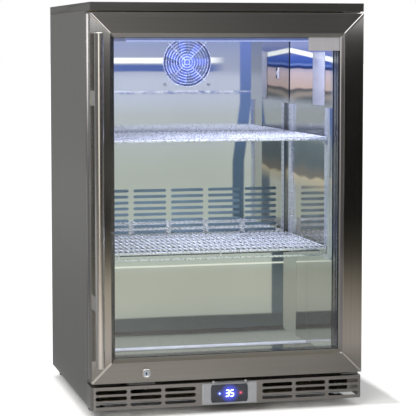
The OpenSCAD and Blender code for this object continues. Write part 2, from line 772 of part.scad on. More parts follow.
// Box behind the plinth, its bezel in front and two lugs that hold the cover
module controller_housing() color("#8d8e8c") in_place() difference() {
    union() {
        span([-bezel_w / 2 + 5.2, -0.2, bezel_z - bezel_h / 2 + 5.2],
            [bezel_w / 2 - 5.2, 38, bezel_z + bezel_h / 2 - 5.2]);
        span([-bezel_w / 2, -bezel_t, bezel_z - bezel_h / 2], [bezel_w / 2, -0.1, bezel_z + bezel_h / 2]);
        both_sides() {
            x = cover_hinge_w / 2 + slack;
            translate([x, cover_d, cover_z]) along_x() cylinder(r = cover_barrel_r, h = lug_w);
            span([x, cover_d, cover_z - cover_barrel_r], [x + lug_w, -0.2, cover_z + cover_barrel_r]);
            span([x, -bezel_t, bezel_z + bezel_h / 2 - 1], [x + lug_w, -0.2, cover_z]);
        }
    }
    span([-bezel_w / 2 + 8, 2, bezel_z - bezel_h / 2 + 8], [bezel_w / 2 - 8, 36, bezel_z + bezel_h / 2 - 8]);
    upright(-bezel_t - 1, 2) display_outline(0.2);
    translate([-half_w / 2, cover_d, cover_z]) along_x() cylinder(r = cover_pin_r + running, h = half_w);
}

// Barrel-shaped outline of the display, grown by g
module display_outline(g) translate([0, bezel_z]) intersection() {
    square([display_w + 2 * g, display_h + 2 * g], center = true);
    circle(r = display_w / 2 + 2 + g, $fn = 96);
}

module display_lens() color("#12151c") in_place() upright(-bezel_t - 0.4, 1.3) display_outline(0);

// Clear cover, hinged along its top edge, with thick side edges
module display_cover() color("#cfe0ea", 0.5) in_place() {
    z0 = bezel_z - bezel_h / 2;
    z1 = bezel_z + bezel_h / 2;
    d1 = -bezel_t - 1;
    difference() {
        union() {
            span([-bezel_w / 2, d1 - cover_t, z0], [bezel_w / 2, d1, z1]);
            span([-cover_hinge_w / 2, cover_d - cover_barrel_r, z1 - 1],
                [cover_hinge_w / 2, cover_d - 0.2, cover_z]);
            translate([-cover_hinge_w / 2, cover_d, cover_z]) along_x()
                cylinder(r = cover_barrel_r, h = cover_hinge_w);
            translate([-cover_hinge_w / 2 - lug_w, cover_d, cover_z]) along_x()
                cylinder(r = cover_pin_r, h = cover_hinge_w + 2 * lug_w);
        }
        span([-bezel_w / 2 + 7, d1 - cover_t + 2, z0 + 2], [bezel_w / 2 - 7, d1 + 1, z1 - 3]);
    }
}

// Hinges and striker

// L-shaped brackets on the cabinet's front, each with a pin into the door
module hinge_brackets() color("#a5a7a8") in_place() {
    x0 = pivot_x - 27;
    x1 = half_w - 3;
    d0 = pivot_d - 13;
    d1 = cab_d - 0.1;
    top_z = slab_z - 0.1;
    low_z = plinth_z1 + 0.7;
    upright_h = 20;
    span([x0, d0, top_z - bracket_t], [x1, d1, top_z]);
    span([x0, d1 - bracket_t, top_z - upright_h], [x1, d1, top_z]);
    translate([pivot_x, pivot_d, door_z1 - 17]) cylinder(r = hinge_pin_r, h = top_z - door_z1 + 16.5);
    span([x0, d0, low_z], [x1, d1, low_z + bracket_t]);
    span([x0, d1 - bracket_t, low_z], [x1, d1, low_z + upright_h]);
    translate([pivot_x, pivot_d, low_z + 0.5]) cylinder(r = hinge_pin_r, h = door_z0 + 16 - low_z);
    translate([pivot_x, pivot_d, door_z0 + 16]) cylinder(r = 0.75 * hinge_pin_r, h = 8, $fn = 6);
}

// Striker on the plinth, which the lock's cam drops behind
module striker_plate() color("#8e9091") in_place() {
    span([lock_x - 36, cam_d - 18, plinth_z1 + 0.1], [lock_x + 24, cab_d - 4, plinth_z1 + 1.6]);
    span([lock_x - 36, cam_d - 9, plinth_z1 + 1.5], [lock_x + 24, cam_d - 7, door_z0 - 1.5]);
}

// Door

// Section of the frame's skin: folded edge, face and inner bevel
module skin_section() {
    t = skin_t;
    polygon([
        [0, skin_return], [0, 0], [frame_w - bevel, 0], [frame_w, bevel],
        [frame_w - t * sqrt(2), bevel], [frame_w - bevel - t * (sqrt(2) - 1), t], [t, t], [t, skin_return]
    ]);
}

// Mitred length of skin along X, its outer edge on Z = 0 and its inner edge above
module mitred_skin(length) intersection() {
    translate([-length / 2, 0, 0]) rotate([90, 0, 90]) linear_extrude(length)
        mirror([1, 0]) rotate(90) skin_section();
    upright(-1, skin_return + 2) polygon([
        [-length / 2, 0], [length / 2, 0],
        [length / 2 - frame_w - 1, frame_w + 1], [-length / 2 + frame_w + 1, frame_w + 1]
    ]);
}

module lock_hole(r) translate([lock_x, -1, lock_z]) along_y() cylinder(r = r, h = cam_d + 1);

module door_rails() color("#6e6b66") in_place() {
    difference() {
        translate([0, 0, door_z0]) mitred_skin(width - 2 * hair);
        lock_hole(barrel_r + hair);
    }
    translate([0, 0, door_z1]) mirror([0, 0, 1]) mitred_skin(width - 2 * hair);
}

module door_stiles() color("#8a8279") in_place() both_sides()
    translate([-half_w, 0, door_mid_z]) rotate([0, 90, 0]) mitred_skin(door_h - 2 * hair);

// Foam-filled inner frame behind the skin, with room for the lock and the hinges
module door_core() color("#77777a") in_place() {
    xi = glazing_half_w + 0.5;
    zi0 = glazing_z0 - 0.5;
    zi1 = glazing_z1 + 0.5;
    inner = skin_t + 0.3;
    difference() {
        both_sides() {
            span([xi, inner + bevel, door_z0 + inner], [half_w - inner, door_t, door_z1 - inner]);
            span([half_w - inner - 1, core_d, door_z0], [half_w, door_t, door_z1]);
        }
        for (z = [door_z0 - 1, door_z1 - 18]) translate([pivot_x, pivot_d, z]) cylinder(r = 6.1, h = 19);
        translate([pivot_x, pivot_d, door_z0 + 17]) cylinder(r = 8.1, h = 110);
    }
    difference() {
        union() {
            span([-xi + hair, inner + bevel, door_z0 + inner], [xi - hair, door_t, zi0]);
            span([-xi + hair, core_d, door_z0], [xi - hair, door_t, door_z0 + inner + 1]);
        }
        lock_hole(barrel_r + hair);
        span([lock_x - 9, cam_d - 2, door_z0 - 1], [lock_x + cam_reach + 4, cam_d + 6, lock_z + 9]);
    }
    span([-xi + hair, inner + bevel, zi1], [xi - hair, door_t, door_z1 - inner]);
    span([-xi + hair, core_d, door_z1 - inner - 1], [xi - hair, door_t, door_z1]);
}

// Dark inner frame: a lip around the glazing and the flange that holds the gasket
module door_liner() color("#1c1d20") in_place() {
    xi = cavity_x;
    lip_x = glazing_half_w + 0.3;
    bar_ring(lip_x, glazing_z0 - 0.3, glazing_z1 + 0.3, xi, door_z0 + frame_w - 0.5, door_z1 - frame_w + 0.5,
        glazing_d1 + 0.2, door_t + 0.2);
    bar_ring(pivot_x - 1, door_z0 + 14, door_z1 - 14, xi, door_z0 + frame_w - 0.5, door_z1 - frame_w + 0.5,
        door_t + 0.3, door_t + 0.3 + liner_flange_t);
}

module door_gasket() color("#3b3d41") in_place() {
    xo = pivot_x - 4;
    bar_ring(xo, door_z0 + 18, door_z1 - 18, xo - gasket_w, door_z0 + 18 + gasket_w, door_z1 - 18 - gasket_w,
        door_t + liner_flange_t + 0.4, cab_d - slack);
}

module pane(k) {
    d = pane_d + k * pane_pitch;
    span([-glazing_half_w, d, glazing_z0], [glazing_half_w, d + glass_t, glazing_z1]);
}

module glass_outer() color("#cfe6ea", 0.35) in_place() pane(0);
module glass_inner() color("#cfe6ea", 0.35) in_place() for (k = [1, 2]) pane(k);

module glazing_spacers() color("#17191c") in_place() for (k = [0, 1]) {
    d = pane_d + glass_t + k * pane_pitch;
    bar_ring(glazing_half_w - 1, glazing_z0 + 1, glazing_z1 - 1,
        glazing_half_w - 9, glazing_z0 + 9, glazing_z1 - 9, d + hair, d + pane_gap - hair);
}

handle_x = -half_w + handle_inset;

// Tube with chamfered end caps
module handle_bar() color("#d9d6cf") in_place() translate([handle_x, -handle_standoff, door_mid_z]) {
    cylinder(r = handle_r, h = handle_l - 2, center = true);
    for (s = [0, 1]) mirror([0, 0, s]) translate([0, 0, handle_l / 2 - 1.01])
        cylinder(r1 = handle_r, r2 = handle_r - 1, h = 1.01);
}

// Blocks that carry the bar, saddled to its radius
module handle_posts() color("#c9c6bf") in_place() difference() {
    for (s = [-1, 1])
        translate([handle_x - post_w / 2, -handle_standoff, door_mid_z + s * post_spacing / 2 - post_h / 2])
            cube([post_w, handle_standoff - 0.05, post_h]);
    translate([handle_x, -handle_standoff, door_mid_z])
        cylinder(r = handle_r + 0.05, h = handle_l, center = true);
}

module lock_barrel() color("#c8cbd0") in_place() translate([lock_x, 0, lock_z]) along_y() difference() {
    union() {
        translate([0, 0, -lock_proud]) cylinder(r1 = lock_face_r - 1.2, r2 = lock_face_r, h = 1.2);
        translate([0, 0, -lock_proud + 1.19]) cylinder(r = lock_face_r, h = lock_proud - 1.24);
        translate([0, 0, -1]) cylinder(r = barrel_r, h = cam_d - 2);
    }
    translate([0, 0, -lock_proud - 1]) cylinder(r = plug_r + running, h = cam_d + lock_proud + 1);
}

// Turning core of the lock, with its key slot
module lock_plug() color("#b4b8be") in_place() translate([lock_x, 0, lock_z]) along_y() difference() {
    union() {
        translate([0, 0, -lock_proud + 0.4]) cylinder(r = plug_r, h = cam_d + lock_proud - 0.5);
        translate([0, 0, cam_d - 0.2]) cylinder(r = 3, h = cam_t + 1.2);
    }
    translate([-3.4, -0.6, -lock_proud - 1]) cube([6.8, 1.2, 18]);
    translate([0, 0, -lock_proud - 1]) cylinder(r = 1.4, h = 18, $fn = 24);
}

// Cam on the plug's tail, pointing along +X while the door is unlocked
module lock_cam() color("#9b9ea2") in_place() translate([lock_x, cam_d, lock_z]) along_y() difference() {
    union() {
        cylinder(r = cam_w / 2 + 1, h = cam_t);
        translate([0, -cam_w / 2, 0]) cube([cam_reach, cam_w, cam_t]);
    }
    translate([0, 0, -1]) cylinder(r = 3 + hair, h = cam_t + 2);
}

// Flanged nylon bushes in the door's top and bottom edges
module hinge_bushes() color("#ececea") in_place() translate([pivot_x, pivot_d, 0]) {
    bore = hinge_pin_r + running;
    low_gap = door_z0 - (plinth_z1 + 0.7 + bracket_t);
    high_gap = slab_z - 0.1 - bracket_t - door_z1;
    translate([0, 0, door_z0]) ring(6, bore, 16);
    translate([0, 0, door_z0 - low_gap + 0.1]) ring(9, bore, low_gap - 0.15);
    translate([0, 0, door_z0 - 0.1]) ring(6, bore, 0.2);
    translate([0, 0, door_z1 - 16]) ring(6, bore, 16);
    translate([0, 0, door_z1 + 0.05]) ring(9, bore, high_gap - 0.15);
    translate([0, 0, door_z1 - 0.1]) ring(6, bore, 0.2);
}

// Self-closing spring's can, over the lower pin's hexagonal tip
module closer_cartridge() color("#8f9294") in_place()
    translate([pivot_x, pivot_d, door_z0 + 17.2]) difference() {
        cylinder(r = 8, h = 108);
        translate([0, 0, -1]) cylinder(r = hinge_pin_r, h = 10);
    }

// Pieces that turn or lift

// Rotor about +Y: a hub, its blades and a shaft towards the motor
module rotor(tip_r, hub, high, shaft_l) along_y() {
    cylinder(r = hub, h = high);
    translate([0, 0, high - 0.1]) cylinder(r = shaft_r, h = shaft_l);
    intersection() {
        for (i = [0:fan_blades - 1]) rotate(i * 360 / fan_blades) translate([hub - 2, 0, high / 2])
            rotate([32, 0, 0]) translate([0, -high * 0.75, -0.8]) cube([tip_r, high * 1.5, 1.6]);
        ring(tip_r, hub - 1.5, high);
    }
}

module evaporator_fan_rotor() color("#303336") in_place() translate([0, fan_d0 + 2, fan_z])
    rotor(fan_bore_r - 2, hub_r - 1, 13, 7);

module condenser_fan_rotor() color("#3a3c3e") in_place() translate([cond_x, shroud_d, cond_z])
    rotor(cond_fan_r, 24, 18, 16);

// Levelling foot: a pad and its threaded stem
module foot(x, d) translate([x, d, 0]) {
    cylinder(r1 = foot_r - 1, r2 = foot_r, h = 1.5);
    translate([0, 0, 1.49]) cylinder(r = foot_r, h = foot_pad_t - 3.5);
    translate([0, 0, foot_pad_t - 2.02]) cylinder(r1 = foot_r, r2 = foot_r - 5, h = 2.02);
    translate([0, 0, foot_pad_t - 0.1]) cylinder(r = foot_stem_r, h = foot_clearance + 18);
}

module foot_front_left() color("#202122") in_place() foot(-half_w + foot_inset, foot_front);
module foot_front_right() color("#202122") in_place() foot(half_w - foot_inset, foot_front);
module foot_rear_left() color("#202122") in_place() foot(-half_w + foot_inset, depth - foot_rear);
module foot_rear_right() color("#202122") in_place() foot(half_w - foot_inset, depth - foot_rear);

side_panel_left();
side_panel_right();
worktop();
rear_panel();
base_pan();
face_frame();
insulation();
liner_sides();
liner_top();
liner_floor();
liner_step();
liner_back();
air_panel();
fan_guard();
fan_frame();
panel_screws();
evaporator_coil();
drain_tube();
evaporation_tray();
compressor();
compressor_grommets();
condenser_coil();
condenser_shroud();
refrigerant_tubes();
electrical_box();
power_inlet();
led_housing();
led_lens();
pilasters();
shelf_clips();
temperature_probe();
plinth_grille();
controller_housing();
display_lens();
hinge_brackets();
striker_plate();
door_rails();
door_stiles();
door_core();
door_liner();
door_gasket();
glass_outer();
glass_inner();
glazing_spacers();
handle_bar();
handle_posts();
lock_barrel();
hinge_bushes();
closer_cartridge();
lock_plug();
lock_cam();
display_cover();
evaporator_fan_rotor();
condenser_fan_rotor();
shelf_upper();
shelf_lower();
foot_front_left();
foot_front_right();
foot_rear_left();
foot_rear_right();
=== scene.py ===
"""Undercounter refrigerator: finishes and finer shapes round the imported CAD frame."""
import json
import math

import bmesh
import bpy
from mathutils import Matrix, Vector

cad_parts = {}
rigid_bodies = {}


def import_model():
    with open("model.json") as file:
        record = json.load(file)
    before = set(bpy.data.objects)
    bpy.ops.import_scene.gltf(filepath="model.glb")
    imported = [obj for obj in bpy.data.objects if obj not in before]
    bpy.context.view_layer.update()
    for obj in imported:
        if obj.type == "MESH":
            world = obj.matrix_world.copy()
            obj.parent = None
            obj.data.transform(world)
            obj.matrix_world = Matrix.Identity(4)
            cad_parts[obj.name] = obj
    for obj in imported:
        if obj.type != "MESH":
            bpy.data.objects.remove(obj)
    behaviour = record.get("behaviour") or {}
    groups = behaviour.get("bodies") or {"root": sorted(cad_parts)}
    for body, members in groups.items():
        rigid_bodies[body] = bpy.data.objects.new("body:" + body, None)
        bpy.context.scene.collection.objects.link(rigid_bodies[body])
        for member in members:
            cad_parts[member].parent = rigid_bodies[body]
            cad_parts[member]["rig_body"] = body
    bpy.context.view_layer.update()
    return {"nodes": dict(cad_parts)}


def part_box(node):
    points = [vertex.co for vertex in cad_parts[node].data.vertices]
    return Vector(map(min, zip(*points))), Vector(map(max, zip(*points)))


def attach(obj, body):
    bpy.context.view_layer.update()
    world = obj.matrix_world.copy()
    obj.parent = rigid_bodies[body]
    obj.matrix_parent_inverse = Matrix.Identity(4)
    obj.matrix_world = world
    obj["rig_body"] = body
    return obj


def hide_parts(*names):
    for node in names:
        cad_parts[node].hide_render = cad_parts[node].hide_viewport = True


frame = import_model()
nodes = frame["nodes"]
scene = bpy.context.scene
MM = 0.001
EDGE_ANGLE = math.radians(32)    # a sharper fold is an edge, which is rolled and not shaded smooth


# ---------------------------------------------------------------- shapes

class Shape:
    """Vertices and faces under construction, in metres in the row frame."""

    def __init__(self):
        self.verts, self.faces = [], []

    def rings(self, rings, wrap=False, caps=True):
        """Skins a run of rings that have the same number of points."""
        base, n, count = len(self.verts), len(rings[0]), len(rings)
        for ring in rings:
            self.verts += [tuple(p) for p in ring]
        for i in range(count if wrap else count - 1):
            a, b = base + i * n, base + (i + 1) % count * n
            for k in range(n):
                j = (k + 1) % n
                self.faces.append((a + k, a + j, b + j, b + k))
        if caps and not wrap:
            self.faces.append(tuple(base + k for k in range(n)))
            self.faces.append(tuple(base + (count - 1) * n + k for k in range(n)))
        return self

    def wire(self, start, end, radius, sides=10):
        """A straight round wire with domed ends."""
        a, b = Vector(start), Vector(end)
        along = (b - a).normalized()
        u = along.orthogonal().normalized()
        v = along.cross(u)
        steps = [(0, 0.45), (0.15, 0.8), (0.5, 1)]
        places = [(a + along * radius * d, r) for d, r in steps]
        places += [(b - along * radius * d, r) for d, r in reversed(steps)]
        turn = [2 * math.pi * k / sides for k in range(sides)]
        spokes = [(u * math.cos(t) + v * math.sin(t)) * radius for t in turn]
        return self.rings([[c + spoke * r for spoke in spokes] for c, r in places])

    def hoop(self, centre, big, small, steps=72, sides=10):
        """A round wire ring about the Y axis."""
        c = Vector(centre)
        section = [(big + small * math.cos(t), small * math.sin(t))
                   for t in (2 * math.pi * k / sides for k in range(sides))]
        rings = []
        for i in range(steps):
            t = 2 * math.pi * i / steps
            out = Vector((math.cos(t), 0, math.sin(t)))
            rings.append([c + out * r + Vector((0, y, 0)) for r, y in section])
        return self.rings(rings, wrap=True)

    def lathe(self, profile, origin, axis, steps=48):
        """Turns (radius, distance along the axis) points about the axis."""
        a = Vector(axis).normalized()
        u = a.orthogonal().normalized()
        v = a.cross(u)
        o = Vector(origin)
        turn = [2 * math.pi * k / steps for k in range(steps)]
        spokes = [u * math.cos(t) + v * math.sin(t) for t in turn]
        return self.rings([[o + a * h + spoke * max(r, 1e-7) for spoke in spokes] for r, h in profile])

    def plate(self, outline, low, high, place):
        """A flat plate: outline points (p, q) from low to high, put in space by place(p, q, h)."""
        return self.rings([[place(p, q, h) for p, q in outline] for h in (low, high)])


def rounded(x0, z0, x1, z1, r, steps=5):
    """Outline of a rectangle with rounded corners."""
    points = []
    centres = [(x1 - r, z1 - r, 0), (x0 + r, z1 - r, 90), (x0 + r, z0 + r, 180), (x1 - r, z0 + r, 270)]
    for cx, cz, start in centres:
        for k in range(steps + 1):
            t = math.radians(start + 90 * k / steps)
            points.append((cx + r * math.cos(t), cz + r * math.sin(t)))
    return points


def crease(obj):
    """Smooth shading, with the edges kept sharp."""
    obj.data.shade_smooth()
    obj.data.set_sharp_from_angle(angle=EDGE_ANGLE)


def bevel(obj, width, segments=2):
    """Rolls the edges."""
    mod = obj.modifiers.new("edge", "BEVEL")
    mod.width, mod.segments = width, segments
    mod.limit_method, mod.angle_limit = "ANGLE", EDGE_ANGLE
    mod.use_clamp_overlap = True
    mod.harden_normals = True


def finish(obj, body, material, replaced=()):
    """Gives a new piece its material, its body and the CAD nodes that it stands for."""
    obj.data.materials.append(material)
    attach(obj, body)
    if replaced:
        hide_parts(*replaced)


def piece(name, shape, body, material, replaced=(), edge=0):
    """A new piece from a Shape."""
    mesh = bpy.data.meshes.new(name)
    mesh.from_pydata(shape.verts, [], shape.faces)
    bm = bmesh.new()
    bm.from_mesh(mesh)
    bmesh.ops.remove_doubles(bm, verts=bm.verts, dist=1e-6)
    bmesh.ops.recalc_face_normals(bm, faces=bm.faces)
    bm.to_mesh(mesh)
    bm.free()
    obj = bpy.data.objects.new(name, mesh)
    scene.collection.objects.link(obj)
    crease(obj)
    if edge:
        bevel(obj, edge)
    finish(obj, body, material, replaced)


def softened(node, width, material, segments=2):
    """A copy of a CAD node with rolled edges, which stands for it."""
    source = nodes[node]
    mesh = source.data.copy()
    mesh.materials.clear()
    bm = bmesh.new()
    bm.from_mesh(mesh)
    bmesh.ops.remove_doubles(bm, verts=bm.verts, dist=2e-6)
    bmesh.ops.dissolve_limit(bm, angle_limit=math.radians(0.6), verts=bm.verts, edges=bm.edges)
    bmesh.ops.recalc_face_normals(bm, faces=bm.faces)
    bm.to_mesh(mesh)
    bm.free()
    for layer in ("custom_normal", "sharp_face", "sharp_edge"):
        if layer in mesh.attributes:
            mesh.attributes.remove(mesh.attributes[layer])
    obj = bpy.data.objects.new(node + "_finished", mesh)
    scene.collection.objects.link(obj)
    crease(obj)
    bevel(obj, width, segments)
    finish(obj, source["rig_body"], material, (node,))


# ---------------------------------------------------------------- materials

class Look:
    """A procedural material round one Principled shader."""

    def __init__(self, name, colour, rough, metal=0.0, **sockets):
        self.material = bpy.data.materials.new(name)
        self.material.use_nodes = True
        self.tree = self.material.node_tree
        self.shader = self.tree.nodes["Principled BSDF"]
        self.colour, self.rough = colour, rough
        self.put(self.shader.inputs["Base Color"], (*colour, 1))
        self.put(self.shader.inputs["Roughness"], rough)
        self.put(self.shader.inputs["Metallic"], metal)
        for key, value in sockets.items():
            self.put(self.shader.inputs[key.replace("_", " ")], value)
        self.normal = None
        self.object = self.add("TexCoord").outputs["Object"]

    def put(self, socket, value):
        if isinstance(value, bpy.types.NodeSocket):
            self.tree.links.new(value, socket)
        else:
            socket.default_value = value

    def add(self, kind, inputs=None, **settings):
        node = self.tree.nodes.new("ShaderNode" + kind)
        for key, value in settings.items():
            setattr(node, key, value)
        for key, value in (inputs or {}).items():
            self.put(node.inputs[key], value)
        return node

    def texture(self, kind, scale, output, inputs=None):
        """A texture on the object's own coordinates, in cells per metre along each axis."""
        at = self.add("Mapping", {"Vector": self.object, "Scale": scale}).outputs[0]
        return self.add(kind, {"Vector": at, "Scale": 1.0, **(inputs or {})}).outputs[output]

    def noise(self, scale, detail=2.0, roughness=0.55):
        return self.texture("TexNoise", scale, "Fac", {"Detail": detail, "Roughness": roughness})

    def cells(self, scale, output="Distance"):
        return self.texture("TexVoronoi", scale, output)

    def remap(self, value, lo, hi, start=0.3, end=0.7):
        return self.add("MapRange", {"Value": value, "From Min": start, "From Max": end,
                                     "To Min": lo, "To Max": hi}).outputs["Result"]

    def maths(self, operation, a, b=0.0):
        return self.add("Math", {0: a, 1: b}, operation=operation).outputs[0]

    def mul(self, a, b):
        return self.maths("MULTIPLY", a, b)

    def less(self, a, b):
        return self.maths("SUBTRACT", a, b)

    def invert(self, mask):
        return self.less(1.0, mask)

    def blend(self, factor, a, b, kind="MIX"):
        """Colour a, with colour b laid over it by the factor."""
        return self.add("Mix", {"Factor": factor, 6: a, 7: b}, data_type="RGBA", blend_type=kind).outputs[2]

    def tint(self, value, darker, lighter, start=0.3, end=0.7):
        """Runs the base colour between two shades of itself."""
        shades = [tuple(min(c * k, 1) for c in self.colour) + (1,) for k in (darker, lighter)]
        self.put(self.shader.inputs["Base Color"], self.blend(self.remap(value, 0, 1, start, end), *shades))
        return self

    def gloss(self, value, spread, start=0.3, end=0.7):
        """Runs the roughness to either side of its own value."""
        low, high = max(self.rough - spread, 0.01), min(self.rough + spread, 1)
        self.put(self.shader.inputs["Roughness"], self.remap(value, low, high, start, end))
        return self

    def bump(self, value, strength, distance):
        node = self.add("Bump", {"Height": value, "Strength": strength, "Distance": distance})
        if self.normal is not None:
            self.put(node.inputs["Normal"], self.normal)
        self.normal = node.outputs[0]
        self.put(self.shader.inputs["Normal"], self.normal)
        return self

    def brushed(self, axis, rotation=0.0, amount=0.9):
        """Stretches reflections across the grain."""
        self.put(self.shader.inputs["Anisotropic"], amount)
        self.put(self.shader.inputs["Anisotropic Rotation"], rotation)
        self.put(self.shader.inputs["Tangent"],
                 self.add("Tangent", direction_type="RADIAL", axis=axis).outputs[0])
        return self


def along(axis, fine, coarse):
    """A noise scale that is coarse along one axis and fine across it."""
    return tuple(coarse if a == axis else fine for a in "xyz")


def steel(name, grain, tangent, rough, amount=1.0, cloud=0.01, rotation=0.0, colour=(0.42, 0.41, 0.39)):
    """Brushed steel: the grain runs along one axis, and amount says how far reflections stretch across it."""
    look = Look(name, colour, rough, 1.0)
    streaks = look.noise(along(grain, 1400, 9), 3)
    bands = look.noise(along(grain, 160, 1.6), 3)
    smudge = look.noise((7, 7, 7), 4)
    look.tint(bands, 0.95, 1.05)
    both = look.maths("ADD", look.mul(streaks, 0.5), look.mul(smudge, 0.5))
    look.gloss(both, cloud, 0.35, 0.65)
    look.bump(streaks, 0.006, 0.0002)
    return look.brushed(tangent, rotation, amount).material


def plastic(name, colour, rough, grain=900, strength=0.12, **sockets):
    look = Look(name, colour, rough, **sockets)
    fine = look.noise((grain,) * 3, 2)
    broad = look.noise((22, 22, 22), 4)
    return look.tint(broad, 0.88, 1.1).gloss(broad, 0.06).bump(fine, strength, 0.0002).material


def plated(name, colour, rough, spangle=220):
    """Zinc: crystals of slightly different shade and gloss."""
    look = Look(name, colour, rough, 1.0)
    crystals = look.cells((spangle,) * 3, output="Color")
    wear = look.noise((30, 30, 30), 4)
    grey = look.add("RGBToBW", {"Color": crystals}).outputs[0]
    return look.tint(grey, 0.86, 1.1, 0, 1).gloss(wear, 0.08).bump(grey, 0.05, 0.0001).material


rail_steel = steel("brushed_rail", "x", "X", 0.285, 0.55)
stile_steel = steel("brushed_stile", "z", "Z", 0.14, cloud=0.015)
plinth_steel = steel("brushed_plinth", "x", "Z", 0.285, 0.89, rotation=0.25, colour=(0.46, 0.44, 0.42))
# Worktop: a darker copy of the brushed steel, whose darkness is painted shade
slab_steel_shaded = steel("brushed_worktop_shaded", "x", "X", 0.285, 0.65, colour=(0.27, 0.262, 0.25))
side_steel = steel("brushed_side", "z", "Z", 0.34, 0.5, cloud=0.02, colour=(0.42, 0.42, 0.41))

LINER_GREY = (0.66, 0.665, 0.66)
look = Look("liner_mirror", LINER_GREY, 0.035, 1.0)
look.tint(look.noise((3, 3, 3), 3), 0.96, 1.03).gloss(look.noise((18, 18, 60), 3), 0.012)
look.bump(look.noise((5, 5, 9), 1), 0.25, 0.001)
liner_steel = look.bump(look.noise((40, 40, 700), 2), 0.03, 0.0001).material

# Rear liner behind the air panel: its dark teal grey is painted shade for what shows through the slots
look = Look("liner_back_painted_shade", (0.30, 0.37, 0.43), 0.55, 0.6)
shaded_liner_steel = look.tint(look.noise((8, 8, 8), 3), 0.85, 1.1).gloss(look.noise((40,) * 3, 3), 0.08).material

# Pilasters: their lavender tint is painted light from the light strip
look = Look("pilaster_steel_painted_light", (0.74, 0.76, 0.86), 0.22, 0.85)
lavender_lit_steel = look.tint(look.noise((30, 30, 9), 3), 0.85, 1.1).gloss(look.noise((60,) * 3, 3), 0.06).material

look = Look("handle_polished", (0.80, 0.78, 0.75), 0.2, 1.0)
look.tint(look.noise((20, 20, 6), 3), 0.96, 1.03).gloss(look.noise((400, 400, 30), 2), 0.02)
handle_steel = look.bump(look.noise((1500, 1500, 60), 2), 0.008, 0.0001).material

look = Look("chrome_wire", (0.86, 0.86, 0.90), 0.29, 0.5)
chrome = look.tint(look.noise((60,) * 3, 3), 0.9, 1.05).gloss(look.noise((200,) * 3, 2), 0.06).material

look = Look("nickel", (0.72, 0.71, 0.69), 0.2, 1.0)
look.tint(look.noise((90,) * 3, 3), 0.93, 1.05).gloss(look.noise((300,) * 3, 2), 0.07)
nickel = look.bump(look.noise((1800,) * 3, 2), 0.04, 0.0001).material

zinc = plated("zinc_plated", (0.55, 0.56, 0.57), 0.36)
door_grey = plastic("door_grey_paint", (0.10, 0.10, 0.105), 0.45, 700, 0.08)
black_plastic = plastic("black_plastic", (0.018, 0.019, 0.021), 0.42)
fan_plastic = plastic("fan_plastic", (0.035, 0.04, 0.05), 0.4)
grey_plastic = plastic("bezel_grey", (0.37, 0.365, 0.37), 0.36, 1100, 0.08)
white_plastic = plastic("white_plastic", (0.72, 0.73, 0.72), 0.38)
probe_white = plastic("probe_white", (0.52, 0.48, 0.48), 0.35)
# Light strip housing: its dark blue grey is painted shade and painted blue light
housing_painted_shade_blue_light = plastic("housing_painted_shade_blue_light", (0.30, 0.33, 0.45), 0.35)
liner_black = plastic("liner_black", (0.018, 0.022, 0.04), 0.12, Specular_IOR_Level=1.0)
gasket_rubber = plastic("gasket_rubber", (0.045, 0.047, 0.052), 0.62, 1400, 0.25)
rubber = plastic("foot_rubber", (0.022, 0.022, 0.023), 0.7, 1500, 0.3)
black_paint = plastic("compressor_paint", (0.014, 0.014, 0.015), 0.3, 260, 0.1)



def finned(look, pitch, darker, lighter, spread):
    """Upright fins, side by side along X."""
    fins = look.add("TexWave", {"Vector": look.object, "Scale": pitch}, bands_direction="X").outputs["Fac"]
    look.tint(fins, darker, lighter, 0.1, 0.9).gloss(look.noise((40,) * 3, 3), spread)
    return look.bump(fins, 0.3, 0.0006).material


aluminium = finned(Look("aluminium_fin", (0.62, 0.63, 0.65), 0.38, 1.0), 130.0, 0.7, 1.08, 0.08)
black_fin = finned(Look("black_fin", (0.025, 0.026, 0.028), 0.45), 110.0, 0.6, 1.3, 0.1)

look = Look("copper", (0.78, 0.40, 0.27), 0.26, 1.0)
copper = look.tint(look.noise((45,) * 3, 5), 0.62, 1.08).gloss(look.noise((80,) * 3, 3), 0.12).material

look = Look("foam", (0.80, 0.68, 0.40), 0.9)
foam = look.tint(look.noise((30,) * 3, 4), 0.8, 1.1).bump(look.cells((500,) * 3), 0.6, 0.0008).material


def glass(name, tint, head_on=0.03, rough=0.02):
    """A clear pane: both its faces mirror by Schlick's rule and let everything else straight through."""
    look = Look(name, (1, 1, 1), rough, 1.0)
    look.gloss(look.noise((6, 6, 6), 3), rough * 0.6)
    look.bump(look.noise((2.2, 2.2, 2.2), 1), 0.02, 0.001)
    clear = look.add("BsdfTransparent", {"Color": (*tint, 1)})
    slope = look.maths("POWER", look.add("LayerWeight", {"Blend": 0.5}).outputs["Facing"], 5.0)
    mirror = look.maths("ADD", look.mul(slope, 1 - head_on), head_on)
    mix = look.add("MixShader", {0: mirror, 1: clear.outputs[0], 2: look.shader.outputs[0]})
    look.put(look.tree.nodes["Material Output"].inputs["Surface"], mix.outputs[0])
    return look.material


pane_glass = glass("pane_glass", (0.985, 0.993, 0.990))
clear_plastic = glass("clear_plastic", (0.955, 0.965, 0.975), 0.035, 0.08)

look = Look("led_lens", (0.85, 0.88, 0.95), 0.3, Emission_Color=(0.40, 0.46, 0.78, 1), Emission_Strength=0.6)
look.tint(look.noise((300,) * 3, 2), 0.95, 1.03)
led_look = look.bump(look.noise((900,) * 3, 1), 0.1, 0.0002).material

# ---------------------------------------------------------------- CAD nodes that keep their shape

